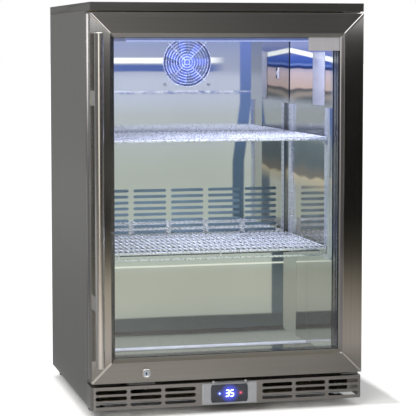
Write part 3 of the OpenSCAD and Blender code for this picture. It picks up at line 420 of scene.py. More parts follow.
FINISHES = {
    zinc: "rear_panel base_pan shelf_clips hinge_brackets striker_plate closer_cartridge lock_cam "
          "panel_screws",
    liner_steel: "liner_sides liner_top liner_floor liner_step air_panel",
    shaded_liner_steel: "liner_back",
    lavender_lit_steel: "pilasters",
    foam: "insulation",
    rail_steel: "face_frame",
    fan_plastic: "fan_frame evaporator_fan_rotor",
    black_plastic: "condenser_fan_rotor condenser_shroud evaporation_tray electrical_box power_inlet",
    liner_black: "door_liner glazing_spacers",
    aluminium: "evaporator_coil",
    black_fin: "condenser_coil",
    copper: "refrigerant_tubes",
    black_paint: "compressor",
    white_plastic: "drain_tube hinge_bushes",
    housing_painted_shade_blue_light: "led_housing",
    probe_white: "temperature_probe",
    led_look: "led_lens",
    rubber: "compressor_grommets",
    pane_glass: "glass_outer glass_inner",
    door_grey: "door_core",
}
for material, names in FINISHES.items():
    for name in names.split():
        for material_slot in nodes[name].material_slots:
            material_slot.material = material

# ---------------------------------------------------------------- pieces with finer shapes

softened("worktop", 1.6 * MM, slab_steel_shaded, 3)
softened("side_panel_left", 0.9 * MM, side_steel)
softened("side_panel_right", 0.9 * MM, side_steel)
softened("door_rails", 0.45 * MM, rail_steel)
softened("door_stiles", 0.8 * MM, stile_steel)
softened("plinth_grille", 0.5 * MM, plinth_steel)
softened("handle_posts", 0.8 * MM, handle_steel)
softened("controller_housing", 0.5 * MM, grey_plastic)
softened("display_cover", 0.6 * MM, clear_plastic)
look = Look("lock_face", (0.46, 0.53, 0.62), 0.32, 0.5)
softened("lock_plug", 0.2 * MM, look.tint(look.noise((400,) * 3, 2), 0.9, 1.08).material)


def facing_front(p, q, h):
    """Puts a plate's outline upright across the front."""
    return p, h, q


lo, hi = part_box("lock_plug")
mid = (lo + hi) / 2
slot_w, slot_h = 1.3 * MM, 3.4 * MM    # half the key slot's width and height
shape = Shape().plate(rounded(mid.x - slot_w, mid.z - slot_h, mid.x + slot_w, mid.z + slot_h, 0.6 * MM),
                      lo.y - 0.12 * MM, lo.y + 0.3 * MM, facing_front)
piece("key_way", shape, "lock", rubber, edge=0.05 * MM)

lo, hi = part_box("handle_bar")
mid = (lo + hi) / 2
r, h = (hi.x - lo.x) / 2, (hi.z - lo.z) / 2
end = [(0, h), (r * 0.55, h), (r - 1.6 * MM, h - 0.1 * MM), (r - 0.7 * MM, h - 0.5 * MM), (r, h - 1.6 * MM)]
shape = Shape().lathe([(a, -b) for a, b in end] + list(reversed(end)), mid, (0, 0, 1), 64)
piece("handle_tube", shape, "door", handle_steel, ("handle_bar",))

# Dressed mitres: a low bead on each corner, with its round side to the rail
lo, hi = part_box("door_stiles")
reach = 43 * MM    # how far in a mitre runs, along X and along Z
bead = [(-3.4, -0.1), (-2.6, 0.45), (-1.4, 0.95), (-0.2, 1.0), (0.7, 0.7), (1.4, 0.2), (1.6, -0.1)]
shape = Shape()
for sx, x in ((1, lo.x), (-1, hi.x)):
    for sz, z in ((1, lo.z), (-1, hi.z)):
        tip = Vector((x + sx * 0.6 * MM, lo.y, z + sz * 0.6 * MM))
        run = Vector((sx, 0, sz)).normalized()
        rail_side = Vector((sx, 0, -sz)).normalized()
        ends = (tip + run * 1.5 * MM, tip + run * (reach - 0.6 * MM) * math.sqrt(2))
        rise = MM if sz < 0 else 0.25 * MM    # the lower two are the flatter
        shape.rings([[end + rail_side * u * MM - Vector((0, h * rise, 0)) for u, h in bead] for end in ends])
piece("mitre_beads", shape, "door", handle_steel)

# Folded hem down each side of the door
hem = [(25, -0.2), (35, 3.0), (45, 3.0), (47, 2.4), (48, -0.2)]
ends = (lo.z + 2 * MM, hi.z - 2 * MM)
for name, side, x in (("door_hem_left", -1, lo.x), ("door_hem_right", 1, hi.x)):
    shape = Shape().rings([[(x + side * h * MM, lo.y + d * MM, z) for d, h in hem] for z in ends])
    piece(name, shape, "door", stile_steel, edge=0.3 * MM)

lo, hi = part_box("lock_barrel")
mid, r = (lo + hi) / 2, (hi.x - lo.x) / 2
face = lo.y
profile = [(6.1 * MM, 30 * MM), (8.4 * MM, 30 * MM), (8.4 * MM, 8.4 * MM), (r, 8.4 * MM), (r, 2.2 * MM),
           (r - 0.5 * MM, 0.9 * MM), (r - 1.5 * MM, 0.15 * MM), (r - 2.1 * MM, 0), (7.3 * MM, 0.05 * MM),
           (6.9 * MM, 0.5 * MM), (6.15 * MM, 0.9 * MM), (6.1 * MM, 1.4 * MM)]
shape = Shape().lathe(profile + [profile[0]], (mid.x, face, mid.z), (0, 1, 0), 56)
piece("lock_collar", shape, "door", nickel, ("lock_barrel",))

lo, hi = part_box("fan_guard")
centre = (lo + hi) / 2
wire = (hi.y - lo.y) / 2
fan_r = 58 * MM
eye = 52.5 * MM    # out to each screw eye, along X and along Z
RINGS = 8
shape = Shape()
for k in range(RINGS + 1):
    shape.hoop(centre, fan_r - wire - k * (fan_r - 7 * MM) / RINGS, wire * 0.95)
for sx in (-1, 1):
    for sz in (-1, 1):
        far = centre + Vector((sx * (eye - 3.4 * MM), wire * 0.2, sz * (eye - 3.4 * MM)))
        near = centre + Vector((sx * 4 * MM, wire * 0.2, sz * 4 * MM))
        shape.wire(near, far, wire * 0.75)
        shape.hoop(centre + Vector((sx * eye, 0, sz * eye)), 3.3 * MM, wire * 0.9, 28)
piece("fan_guard_wires", shape, "cabinet", chrome, ("fan_guard",))

# Dark screws in the guard's eyes; their blue tint is painted blue light
shape = Shape()
screw = [(0, 0), (3.7, 0), (4.3, 0.5), (4.1, 1.9), (2.8, 3.0), (1.1, 3.3), (0.8, 2.6), (0, 2.6)]
for sx in (-1, 1):
    for sz in (-1, 1):
        at = (centre.x + sx * eye, hi.y + 1.5 * MM, centre.z + sz * eye)
        shape.lathe([(r * MM, h * MM) for r, h in screw], at, (0, -1, 0), 24)
look = Look("painted_blue_light_screw", (0.02, 0.035, 0.11), 0.4, 0.3)
painted_blue_light = look.tint(look.noise((300,) * 3, 2), 0.8, 1.2).material
piece("fan_guard_screws", shape, "cabinet", painted_blue_light)

# A pale bead along the foot of the step, whose pale lavender colour is a painted highlight of the fold there
lo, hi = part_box("liner_step")
look = Look("fold_highlight_bead", (0.80, 0.80, 0.86), 0.4)
fold_highlight_bead = look.tint(look.noise((60,) * 3, 3), 0.95, 1.04).bump(look.noise((300,) * 3, 2), 0.1, 0.0003).material
cavity_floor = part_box("liner_floor")[1].z
bead = [(0.2, -0.2), (-3.2, -0.2), (-3.0, 0.3), (-2.2, 0.9), (-1.2, 1.6), (-0.5, 2.6), (-0.1, 3.4), (0.2, 3.4)]
ends = (lo.x + 1 * MM, hi.x - 1 * MM)
shape = Shape().rings([[(x, lo.y + a * MM, cavity_floor + b * MM) for a, b in bead] for x in ends])
piece("liner_fold_highlight_bead", shape, "cabinet", fold_highlight_bead)


def shelf(node, body):
    """Front-to-back wires on cross wires, with round ends. The taller shelf has a rail under its front."""
    lo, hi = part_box(node)
    thin, thick = 1.5 * MM, 2.5 * MM
    top = hi.z - thin
    under = top - thin - thick
    shape = Shape()
    count = 41
    for k in range(count):
        x = lo.x + thin + k * (hi.x - lo.x - 2 * thin) / (count - 1)
        shape.wire((x, lo.y, top), (x, hi.y, top), thin, 8)
    second, gap = lo.y + 9 * MM, (hi.y - lo.y - 12 * MM) / 5
    for y in [lo.y + thick, second] + [second + k * gap for k in range(1, 6)]:
        shape.wire((lo.x, y, under), (hi.x, y, under), thick, 12)
    if hi.z - lo.z > 12 * MM:
        low = lo.z + thick
        shape.wire((lo.x + 6 * MM, lo.y + thick, low), (hi.x - 6 * MM, lo.y + thick, low), thick, 12)
        for x in (lo.x + 14 * MM, (lo.x + hi.x) / 2, hi.x - 14 * MM):
            shape.wire((x, lo.y + thick, low), (x, lo.y + thick, under), thin, 8)
    piece(node + "_wires", shape, body, chrome, (node,))


shelf("shelf_upper", "upper_shelf")
shelf("shelf_lower", "lower_shelf")

lo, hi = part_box("door_gasket")
width = 17 * MM
# Bellows profile: in from the outer edge, and from the door to the cabinet, as parts of its width and depth
bellows = [(0, 0), (1, 0), (1, 0.18), (0.93, 0.28), (1, 0.38), (1, 0.6), (0.9, 0.72), (0.95, 1),
           (0.1, 1), (0, 0.82), (0.1, 0.62), (0, 0.42), (0.08, 0.3), (0, 0.2)]
depth = hi.y - lo.y
corners = [(lo.x, lo.z, 1, 1), (hi.x, lo.z, -1, 1), (hi.x, hi.z, -1, -1), (lo.x, hi.z, 1, -1)]
shape = Shape().rings([[(x + sx * u * width, lo.y + d * depth, z + sz * u * width) for u, d in bellows]
                       for x, z, sx, sz in corners], wrap=True)
piece("gasket_bellows", shape, "door", gasket_rubber, ("door_gasket",))

for corner in ("front_left", "front_right", "rear_left", "rear_right"):
    node = "foot_" + corner
    lo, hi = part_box(node)
    mid, r = (lo + hi) / 2, (hi.x - lo.x) / 2
    height, stem = hi.z - lo.z, 4.9 * MM
    pad = [(2.2, 0), (0.8, 0.5), (0, 1.9), (0, 4.6), (0.8, 5.5), (3, 6.6), (8, 7.9)]
    profile = [(0, 0)] + [(r - inset * MM, h * MM) for inset, h in pad] + [(stem + 1.2 * MM, 8 * MM)]
    z = 8.2 * MM
    while z < height - 1.6 * MM:    # the stem's thread
        profile += [(stem - 0.5 * MM, z), (stem, z + 0.5 * MM)]
        z += 1.25 * MM
    profile += [(stem - 0.8 * MM, height), (0, height)]
    shape = Shape().lathe(profile, (mid.x, mid.y, lo.z), (0, 0, 1), 40)
    piece(node + "_turned", shape, corner + "_foot", rubber, (node,))

# Display: dark lens with a soft glow behind the digits, a blue lamp and a red one
lo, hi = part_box("display_lens")
screen = (lo + hi) / 2
look = Look("display_glow", (0.012, 0.015, 0.03), 0.12)
axes = look.add("SeparateXYZ", {0: look.object}).outputs


def spot(look, axes, x, z, reach):
    """1 at (x, z), falling to 0 at reach."""
    across, up = look.less(axes[0], x), look.less(axes[2], z)
    away = look.maths("SQRT", look.maths("ADD", look.mul(across, across), look.mul(up, up)))
    near = look.invert(look.maths("DIVIDE", away, reach))
    return look.maths("POWER", look.maths("MAXIMUM", near, 0.0), 1.6)


digits_x = screen.x + 0.5 * MM
blue_x, red_x = screen.x - 22 * MM, screen.x + 25 * MM
digits = spot(look, axes, digits_x, screen.z, 24 * MM)
blue = look.mul(spot(look, axes, blue_x, screen.z, 7 * MM), 0.8)
red = look.mul(spot(look, axes, red_x, screen.z, 7 * MM), 0.4)
glow = look.maths("ADD", red, digits)
redness = look.maths("DIVIDE", red, look.maths("ADD", glow, 0.02))
tone = look.blend(redness, (0.07, 0.10, 1.0, 1), (1.0, 0.05, 0.08, 1))
look.put(look.shader.inputs["Emission Color"], tone)
look.put(look.shader.inputs["Emission Strength"], look.mul(look.maths("ADD", glow, blue), 2.0))
look.bump(look.noise((400,) * 3, 2), 0.03, 0.0001)
display_look = look.tint(look.noise((90,) * 3, 2), 0.8, 1.3).material
softened("display_lens", 0.25 * MM, display_look)


def lamp_look(name, colour, strength):
    look = Look(name, colour, 0.3, Emission_Color=(*colour, 1), Emission_Strength=strength)
    return look.tint(look.noise((800,) * 3, 1), 0.9, 1.05).material


digit_look = lamp_look("digit_light", (0.80, 0.90, 1.0), 3.0)
w, h, s, slant = 3.6 * MM, 6.75 * MM, 0.95 * MM, 0.09    # half a digit's width and height, half its stroke
top, upper_right, lower_right = (-w, h, w, h), (w, 0, w, h), (w, -h, w, 0)
bottom, upper_left, middle = (-w, -h, w, -h), (-w, 0, -w, h), (-w, 0, w, 0)
three = (top, upper_right, lower_right, bottom, middle)
five = (top, lower_right, bottom, upper_left, middle)
shape = Shape()
front = lo.y - 0.15 * MM
for cx, bars in ((-5.2 * MM, three), (5.2 * MM, five)):
    for x0, z0, x1, z1 in bars:
        run = Vector((x1 - x0, z1 - z0)).normalized()
        side = Vector((-run.y, run.x)) * s
        a, b = Vector((x0, z0)) + run * s * 0.3, Vector((x1, z1)) - run * s * 0.3
        hexagon = [a, a + run * s + side, b - run * s + side, b, b - run * s - side, a + run * s - side]
        outline = [(digits_x + cx + p.x + slant * p.y, screen.z + p.y) for p in hexagon]
        shape.plate(outline, front, lo.y + 0.2 * MM, facing_front)
piece("display_digits", shape, "cabinet", digit_look)
lens = [(0, 0), (1.0, 0.02), (1.5, 0.15), (1.6, 0.4), (0, 0.4)]
LAMPS = (("display_lamp_blue", blue_x, (0.55, 0.80, 1.0)), ("display_lamp_red", red_x, (0.5, 0.06, 0.08)))
for name, x, colour in LAMPS:
    shape = Shape().lathe([(r * MM, h * MM) for r, h in lens], (x, front, screen.z), (0, 1, 0), 24)
    piece(name, shape, "cabinet", lamp_look(name + "_light", colour, 2.6))

# Bare plate on the glass and bare label inside the cabinet
lo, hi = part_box("glass_outer")
look = Look("plate_grey", (0.40, 0.39, 0.41), 0.4, 0.2)
look.tint(look.noise((700, 700, 20), 2), 0.93, 1.05)
plate_look = look.bump(look.noise((900, 900, 30), 2), 0.05, 0.0001).material
shape = Shape().plate(rounded(hi.x - 78 * MM, hi.z - 36 * MM, hi.x - 7.6 * MM, hi.z - 7.6 * MM, 1.2 * MM),
                      lo.y - 1.2 * MM, lo.y + 0.02 * MM, facing_front)
piece("glass_plate", shape, "door", plate_look, edge=0.3 * MM)

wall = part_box("air_panel")[1].x
front_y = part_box("worktop")[0].y
look = Look("label_paper", (0.23, 0.23, 0.245), 0.5)
paper = look.tint(look.noise((60,) * 3, 4), 0.95, 1.03).bump(look.noise((500,) * 3, 3), 0.06, 0.0002).material
label_low, label_top = 0.655, 0.775
shape = Shape().plate(rounded(front_y + 116 * MM, label_low, front_y + 205 * MM, label_top, 2 * MM),
                      wall - 0.05 * MM, wall + 0.25 * MM, lambda p, q, x: (x, p, q))
piece("wall_label", shape, "cabinet", paper)

# ---------------------------------------------------------------- stage

def rgba(level):
    """A colour socket's value, from a grey level or from a colour."""
    return (*(level if isinstance(level, tuple) else (level,) * 3), 1)


class Card(Look):
    """A lit card, seen by reflections and never by the camera, from the side where its corners run
    anticlockwise. With diffuse it lights matt surfaces too."""

    def __init__(self, name, corners, diffuse=False):
        super().__init__(name, (0, 0, 0), 1)
        self.tree.nodes.remove(self.shader)
        mesh = bpy.data.meshes.new(name)
        mesh.from_pydata(corners, [], [tuple(range(len(corners)))])
        mesh.materials.append(self.material)
        self.card = bpy.data.objects.new(name, mesh)
        scene.collection.objects.link(self.card)
        self.card.visible_camera = self.card.visible_transmission = self.card.visible_shadow = False
        self.card.visible_volume_scatter = False
        self.card.visible_diffuse = diffuse
        self.light = self.add("Emission", {"Strength": 1.0})
        self.back = self.add("NewGeometry").outputs["Backfacing"]
        clear = self.add("BsdfTransparent").outputs[0]
        self.mix = self.add("MixShader", {0: self.back, 1: self.light.outputs[0], 2: clear})
        self.put(self.tree.nodes["Material Output"].inputs["Surface"], self.mix.outputs[0])
        self.x, self.y, self.z = self.add("SeparateXYZ", {0: self.object}).outputs

    def ramp(self, value, stops):
        """Runs through the stops (place, level or colour) along value, and holds the end ones beyond."""
        start, end = stops[0][0], stops[-1][0]
        node = self.add("ValToRGB", {"Fac": self.remap(value, 0, 1, start, end)})
        node.color_ramp.interpolation = "EASE"
        elements = node.color_ramp.elements
        while len(elements) < len(stops):
            elements.new(0.5)
        for element, (place, level) in zip(elements, stops):
            element.position = (place - start) / (end - start)
            element.color = rgba(level)
        return node.outputs["Color"]

    def band(self, value, lo, hi, soft):
        """1 between lo and hi, with soft edges."""
        rise = self.remap(value, 0, 1, lo - soft, lo + soft)
        return self.mul(rise, self.remap(value, 1, 0, hi - soft, hi + soft))

    def over(self, colour, mask, level):
        """The level or colour laid over colour where the mask is 1."""
        return self.blend(mask, colour, rgba(level))

    def times(self, a, b):
        return self.blend(1.0, a, b, "MULTIPLY")

    def plus(self, a, b):
        return self.blend(1.0, a, b, "ADD")

    def fade(self, mask):
        """Lets reflections pass where the mask is 0."""
        self.put(self.mix.inputs[0], self.invert(self.mul(mask, self.invert(self.back))))

    def show(self, colour):
        self.put(self.light.inputs["Color"], colour)


def upright_card(name, a, b, low, high, **options):
    """A card standing on the line from a to b, and lit on the right of someone who walks it."""
    return Card(name, [(*a, low), (*b, low), (*b, high), (*a, high)], **options)


def level_card(name, xs, ys, z, **options):
    """A level card: lit above where ys runs to the rear, and below where it runs to the front."""
    return Card(name, [(xs[0], ys[0], z), (xs[1], ys[0], z), (xs[1], ys[1], z), (xs[0], ys[1], z)], **options)


# The room round the object, in metres: its front and rear walls, its sides at -SIDE and SIDE, and heights
FRONT, REAR, SIDE = -4.6, 6, 9
WALL_FOOT, WALL_TOP, CEILING = -0.3, 3.2, 4.2
OVER_FLOOR = 0.004

# Front card: the dark room in front, with a bright horizon and a bright window to the left
card = upright_card("front_card", (SIDE, FRONT), (-SIDE, FRONT), WALL_FOOT, CEILING)
horizon = card.ramp(card.z, [(WALL_FOOT, 0.05), (0.3, 0.06), (0.53, 0.095), (0.69, 0.18), (0.776, 0.33),
                             (0.84, 0.6), (0.90, 0.8), (1.0, 0.1), (1.15, 0.03), (CEILING, 0.03)])
across = card.ramp(card.x, [(-SIDE, 0.6), (0.2, 1.0), (0.6, 0.93), (1.1, 0.28), (1.6, 0.07), (SIDE, 0.07)])
streak = card.ramp(card.x, [(-SIDE, 1.2), (0.5, 1.2), (0.75, 0.8), (1.1, 0.22), (1.5, 0.04), (1.68, 0.1),
                            (1.76, 0.8), (1.9, 0.8)])
tone = card.over(card.times(horizon, across), card.times(streak, card.band(card.z, 0.885, 0.96, 0.02)),
                 (1.9, 1.9, 2.0))
left_tone = card.ramp(card.x, [(-SIDE, 0.09), (-4.6, 0.12), (-3.1, 0.20), (-2.6, 0.5), (-1.0, 0.55),
                               (-0.2, 0.10)])
left_half = card.ramp(card.x, [(-SIDE, 1), (-0.6, 1), (-0.1, 0), (SIDE, 0)])
tone = card.plus(card.over(tone, card.remap(card.x, 1, 0, -0.6, -0.1), 0.0), card.times(left_tone, left_half))
card.show(card.over(tone, card.band(card.x, -2.2, -0.60, 0.25), (1.5, 1.4, 1.22)))

# Floor cards: the floor's reflection fades with its distance. Overhead card: the bright ceiling
card = level_card("floor_card", (-SIDE, SIDE), (-6, -0.26), OVER_FLOOR)
away = card.ramp(card.y, [
    (-6, 0.03), (-5.2, 0.035), (-4.2, 0.06), (-3.14, (0.22, 0.20, 0.16)), (-1.85, (0.82, 0.74, 0.62)),
    (-1.0, (0.84, 0.77, 0.72)), (-0.7, (0.50, 0.475, 0.45)), (-0.45, (0.62, 0.60, 0.57)),
    (-0.26, (0.30, 0.29, 0.28))])
across = card.ramp(card.x, [(-SIDE, 0.2), (-2, 0.3), (-0.4, 1.0), (0.02, 1.0), (0.156, 0.84), (0.30, 0.76),
                            (0.48, 0.70), (0.63, 0.70), (0.82, 0.48), (0.956, 0.17), (SIDE, 0.15)])
card.show(card.times(away, across))
for xs in ((-SIDE, -0.31), (0.31, SIDE)):
    card = level_card("floor_card_side", xs, (-0.55, 8), OVER_FLOOR)
    card.show(card.ramp(card.maths("ABSOLUTE", card.x), [(0.3, 0.24), (1.0, 0.24), (2.0, 0.42), (4.2, 0.40),
                                                         (5.4, 0.11), (SIDE, 0.09)]))
card = level_card("overhead_card", (-SIDE, SIDE), (-0.2, FRONT), CEILING)
card.show((2.4, 2.4, 2.5, 1))

# Rear and side cards: a mid grey rear, and dim sides that grow paler upward
card = upright_card("rear_card", (-SIDE, REAR), (SIDE, REAR), WALL_FOOT, WALL_TOP)
card.show((0.27, 0.27, 0.265, 1))
LEFT_STOPS = [(FRONT, 0.10), (-1.7, 0.10), (2, 0.09), (4, 0.09), (REAR, 0.2)]
RIGHT_STOPS = [(FRONT, 0.02), (2, 0.04), (4, 0.2), (REAR, 0.27)]
for name, x, ys, stops in (("left_card", -SIDE, (FRONT, REAR), LEFT_STOPS),
                           ("right_card", SIDE, (REAR, FRONT), RIGHT_STOPS)):
    card = upright_card(name, (x, ys[0]), (x, ys[1]), WALL_FOOT, WALL_TOP)
    card.show(card.over(card.ramp(card.y, stops), card.remap(card.z, 0, 1, 0.95, 1.5), 0.45))

# Bevel card: the light along the inner bevel of the hinge stile
pane_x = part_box("glass_outer")[1].x
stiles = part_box("door_stiles")[0]
bevel_x, door_y = pane_x - 6.5 * MM, stiles.y
bevel_low, bevel_top = 0.14, 0.855
card = upright_card("bevel_card", (bevel_x, door_y - 8 * MM), (bevel_x, door_y + 9 * MM), bevel_low, bevel_top)
edge = card.ramp(card.z, [(0.14, 0.35), (0.36, 0.35), (0.585, 0.6), (0.70, 0.85), (0.80, 1.2), (0.86, 1.3)])
flat = card.ramp(card.z, [(0.14, 0.32), (0.30, 0.22), (0.36, 0.12), (0.70, 0.12), (0.80, 0.30), (0.835, 0.9),
                          (0.86, 1.1)])
tone = card.blend(card.remap(card.y, 0, 1, door_y + 4.5 * MM, door_y + 6 * MM), flat, edge)
card.show(card.times(tone, (1.3, 1.25, 1.3, 1)))

# Sill card: the shade over the lower inner bevel
sill_half = 0.2585
card = level_card("sill_card", (-sill_half, sill_half), (door_y + 8.6 * MM, door_y - 26 * MM), bevel_low)
card.show((0.30, 0.285, 0.24, 1))

# Hem card: the light along the upper part of the door's left hem
hem_near, hem_far = (stiles.x - 3.2 * MM, door_y + 20 * MM), (stiles.x - 8 * MM, door_y + 39 * MM)
card = upright_card("hem_card", hem_near, hem_far, 0.08, 0.856)
tone = card.ramp(card.z, [(0.07, 0.42), (0.2, 0.40), (0.30, 0.22), (0.5, 0.2), (0.585, 0.42), (0.675, 0.55),
                          (0.745, 0.85), (0.80, 1.0)])
card.show(card.over(tone, card.remap(card.z, 0, 1, 0.60, 0.80), (2.8, 2.8, 2.9)))

# The cavity's mouth, just inside the liner and in the plane of the door's inner face
half, low, high = 0.2492, 0.1022, 0.812
mouth_y = front_y + 57 * MM
duct_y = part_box("air_panel")[0].y


def room_tone(card):
    """The pale room by its height."""
    return card.ramp(card.z, [
        (low, (0.47, 0.51, 0.47)), (0.19, (0.63, 0.65, 0.57)), (0.24, (0.66, 0.68, 0.58)),
        (0.275, (0.78, 0.84, 0.76)), (0.45, (0.80, 0.84, 0.78)), (0.60, (0.88, 0.92, 0.98)),
        (0.66, (0.95, 1.0, 1.25)), (0.70, (0.95, 1.0, 1.3)), (0.735, (0.66, 0.70, 1.0)),
        (high, (0.52, 0.60, 1.05))])


# Cavity card: the pale room that the liner mirrors, with the dark jamb beside it
card = upright_card("cavity_card", (half, mouth_y), (-half, mouth_y), low, high, diffuse=True)
jamb = card.ramp(card.z, [
    (low, (0.09, 0.135, 0.16)), (0.30, (0.09, 0.135, 0.165)), (0.40, (0.14, 0.215, 0.31)),
    (0.50, (0.145, 0.225, 0.34)), (0.62, (0.23, 0.34, 0.72)), (high, (0.29, 0.40, 1.05))])
lean = card.mul(card.remap(card.z, 1, 0, 0.49, 0.64), card.remap(card.z, 0, 1, 0.30, 0.33))
jamb_x = card.maths("ADD", card.x, card.mul(lean, 0.0195))
room = card.blend(card.band(jamb_x, 0.2195, 0.2502, 0.002), room_tone(card), jamb)
room = card.over(room, card.band(card.z, 0, 0.1415, 0.002), (0.05, 0.078, 0.092))
# A bright line at the foot, and the mirrored shelf, whose wires break its two lines up
room = card.over(room, card.band(card.z, 0.2625, 0.2660, 0.0008), (1.5, 1.5, 1.32))
weave = card.remap(card.noise((70, 1, 160), 3, 0.7), 0, 1, 0.45, 0.6)
room = card.over(room, card.mul(card.band(card.z, 0.6655, 0.6735, 0.0008), weave), (0.42, 0.50, 0.95))
gaps = card.invert(weave)
room = card.over(room, card.mul(card.band(card.z, 0.6705, 0.6735, 0.0008), gaps), (1.5, 1.5, 2.0))
# The blue and white lines of the light strip, on the left
left = card.band(card.x, -0.5, 0.16, 0.02)
room = card.over(room, card.mul(card.band(card.z, 0.722, 0.7395, 0.0015), left), (0.16, 0.25, 0.75))
room = card.over(room, card.mul(card.band(card.z, 0.7435, 0.7575, 0.0012), left), (2.2, 2.2, 2.3))
card.show(room)

# Blades that keep the jamb's dark edges from doubling in the side wall and the floor
blade_x = half - 0.4 * MM
card = upright_card("wall_blade", (blade_x, mouth_y + 0.105), (blade_x, mouth_y), low, high)
card.show(card.times(room_tone(card), (*LINER_GREY, 1)))
card = level_card("floor_blade", (-half, half), (mouth_y, -1.5 * MM), low + 0.5 * MM)
card.show(card.ramp(card.y, [
    (mouth_y, (0.035, 0.052, 0.06)), (-0.162, (0.035, 0.052, 0.06)), (-0.156, (0.25, 0.28, 0.265)),
    (-0.11, (0.36, 0.39, 0.37)), (0, (0.42, 0.45, 0.42))]))

# Wall card: what the right wall mirrors above and between the shelves
mirror_x = half - 0.6 * MM
card = upright_card("wall_card", (mirror_x, mouth_y), (mirror_x, duct_y), 0.34, high)
ripple = card.less(card.noise((3, 5.5, 5.5), 1, 0.5), 0.5)
wavy_z = card.maths("ADD", card.z, card.mul(ripple, card.remap(card.z, 0.11, 0.012, 0.62, 0.72)))
tone = card.ramp(wavy_z, [
    (0.34, (0.80, 0.70, 0.53)), (0.494, (0.80, 0.70, 0.53)), (0.502, (0.30, 0.28, 0.26)),
    (0.53, (0.20, 0.24, 0.27)), (0.57, (0.23, 0.29, 0.33)), (0.66, (0.23, 0.24, 0.27)),
    (0.674, (0.55, 0.48, 0.47)), (0.684, (0.20, 0.19, 0.22)), (0.690, (1.0, 0.76, 0.76)),
    (0.722, (1.05, 0.84, 0.98)), (0.732, (0.85, 0.74, 1.05)), (0.7355, (0.03, 0.06, 0.22)),
    (0.7395, (0.05, 0.10, 0.45)), (0.743, (0.30, 0.44, 1.15)), (0.748, (0.10, 0.19, 0.75)),
    (0.758, (0.13, 0.24, 0.95)), (0.775, (0.36, 0.42, 0.95)), (0.79, (0.50, 0.56, 1.05)),
    (high, (0.52, 0.58, 1.05))])
# A bright line that falls to the front, and the duct's dark edge
swoop = card.less(card.z, card.mul(card.less(card.y, duct_y), 0.0618))
tone = card.over(tone, card.band(swoop, 0.7725, 0.7835, 0.0015), (2.1, 2.1, 2.2))
tone = card.over(tone, card.band(card.y, duct_y - 5 * MM, duct_y + 0.1, 0.001), (0.03, 0.05, 0.13))
card.show(tone)
between = card.mul(card.remap(card.z, 0, 1, 0.45, 0.485), card.band(card.z, 0, 0.575, 0.01))
mask = card.maths("MAXIMUM", card.remap(card.z, 0, 1, 0.650, 0.668), between)
mask = card.maths("MAXIMUM", mask, card.remap(card.z, 0, 0.12, 0.34, 0.36))
card.fade(card.mul(mask, card.remap(card.y, 0, 1, mouth_y, mouth_y + 0.03)))

# Ceiling card: the light strip's spread on the shelves
reach, ys = 0.24, (duct_y - 0.01, mouth_y + 0.035)
card = level_card("ceiling_card", (-reach, reach), ys, high + 0.2 * MM, diffuse=True)
card.show(card.times(card.ramp(card.x, [(-reach, 1.3), (0.05, 1.1), (reach, 0.45)]), (1.0, 1.02, 1.6, 1)))

# Floor: paper white to the camera away from the object, and plain near it, where the shadow falls
mesh = bpy.data.meshes.new("floor")
far = 60
mesh.from_pydata([(-far, -far, 0), (far, -far, 0), (far, far, 0), (-far, far, 0)], [], [(0, 1, 2, 3)])
floor = bpy.data.objects.new("floor", mesh)
scene.collection.objects.link(floor)
look = Look("floor_pale", (0.86, 0.86, 0.855), 0.6)
look.tint(look.noise((1.5,) * 3, 2), 0.99, 1.01)
path = look.add("LightPath").outputs
seen = look.maths("MAXIMUM", path["Is Camera Ray"], path["Is Glossy Ray"])
seen = look.maths("MAXIMUM", seen, path["Is Transmission Ray"])
x, y, _ = look.add("SeparateXYZ", {0: look.object}).outputs
near_x = look.remap(look.maths("ABSOLUTE", look.less(x, 0.045)), 1, 0, 0.345, 0.365)
near_y = look.remap(look.maths("ABSOLUTE", y), 1, 0, 0.235, 0.27)
clear_of = look.invert(look.mul(near_x, near_y))
strength = look.mul(look.mul(seen, clear_of), 0.5)
lift = look.add("Emission", {"Color": (1, 1, 1, 1), "Strength": strength})
total = look.add("AddShader", {0: look.shader.outputs[0], 1: lift.outputs[0]})
look.put(look.tree.nodes["Material Output"].inputs["Surface"], total.outputs[0])
floor.data.materials.append(look.material)

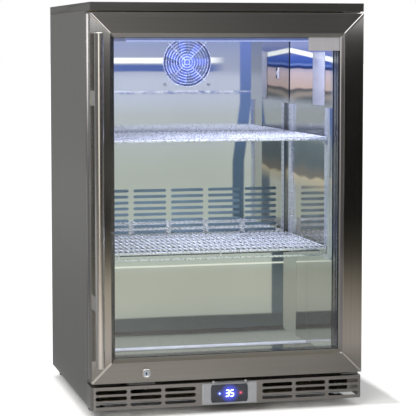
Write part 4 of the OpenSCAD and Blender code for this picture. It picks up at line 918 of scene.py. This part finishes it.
# World: white to the camera and to mirrors, and softer as a light
world = bpy.data.worlds.new("studio")
scene.world = world
world.use_nodes = True
tree = world.node_tree
tree.nodes.clear()
soft, white = (tree.nodes.new("ShaderNodeBackground") for _ in range(2))
for background, strength in ((soft, 0.7), (white, 1.0)):
    background.inputs["Color"].default_value = (1, 1, 1, 1)
    background.inputs["Strength"].default_value = strength
path = tree.nodes.new("ShaderNodeLightPath").outputs
seen = path["Is Camera Ray"]
for name in ("Is Glossy Ray", "Is Transmission Ray"):
    either = tree.nodes.new("ShaderNodeMath")
    either.operation = "MAXIMUM"
    tree.links.new(seen, either.inputs[0])
    tree.links.new(path[name], either.inputs[1])
    seen = either.outputs[0]
mix = tree.nodes.new("ShaderNodeMixShader")
tree.links.new(seen, mix.inputs[0])
tree.links.new(soft.outputs[0], mix.inputs[1])
tree.links.new(white.outputs[0], mix.inputs[2])
out = tree.nodes.new("ShaderNodeOutputWorld")
tree.links.new(mix.outputs[0], out.inputs["Surface"])


def area(name, place, target, size, power, colour, shape="RECTANGLE"):
    """A lamp that reflections don't see."""
    light = bpy.data.lights.new(name, "AREA")
    light.shape, light.size, light.size_y = shape, *size
    light.energy, light.color = power, colour
    obj = bpy.data.objects.new(name, light)
    obj.location = place
    obj.rotation_euler = (Vector(target) - Vector(place)).to_track_quat("-Z", "Y").to_euler()
    scene.collection.objects.link(obj)
    obj.visible_camera = obj.visible_glossy = False


area("key", (-2.6, -3.2, 3.4), (0, 0, 0.4), (3.2, 3.2), 170, (1.0, 0.985, 0.96))
lo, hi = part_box("led_lens")
area("cavity_led", ((lo.x + hi.x) / 2, hi.y, lo.z - 1 * MM), (0, 0.1, 0.3), (hi.x - lo.x, 0.012), 3.6,
     (0.72, 0.74, 1.0))
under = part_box("shelf_upper")[0].z - 4 * MM
area("shelf_fill", (0, -0.02, under), (0, -0.02, 0), (0.42, 0.24), 3.2, (0.70, 0.73, 1.0))
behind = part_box("air_panel")[1].y + 4 * MM
area("duct_fill", (0, behind, 0.40), (0, 1, 0.40), (0.44, 0.12), 0.38, (0.66, 0.82, 1.0))
lo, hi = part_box("fan_guard")
mid = (lo + hi) / 2
area("fan_glow", (mid.x, hi.y + 3 * MM, mid.z), (0, 1, mid.z), (0.1, 0.1), 0.75, (0.14, 0.22, 0.95), "DISK")

# ---------------------------------------------------------------- camera

camera = bpy.data.cameras.new("camera")
camera.lens, camera.sensor_width, camera.shift_y = 145.91, 36, -0.08
eye_obj = bpy.data.objects.new("camera", camera)
eye_obj.location = (-0.9113, -3.7137, 0.7922)
down, to_right = math.radians(4.43), math.radians(13.987)
eye_obj.rotation_euler = (math.pi / 2 - down, 0, -to_right)
scene.collection.objects.link(eye_obj)
scene.camera = eye_obj
scene.view_settings.view_transform = "Standard"
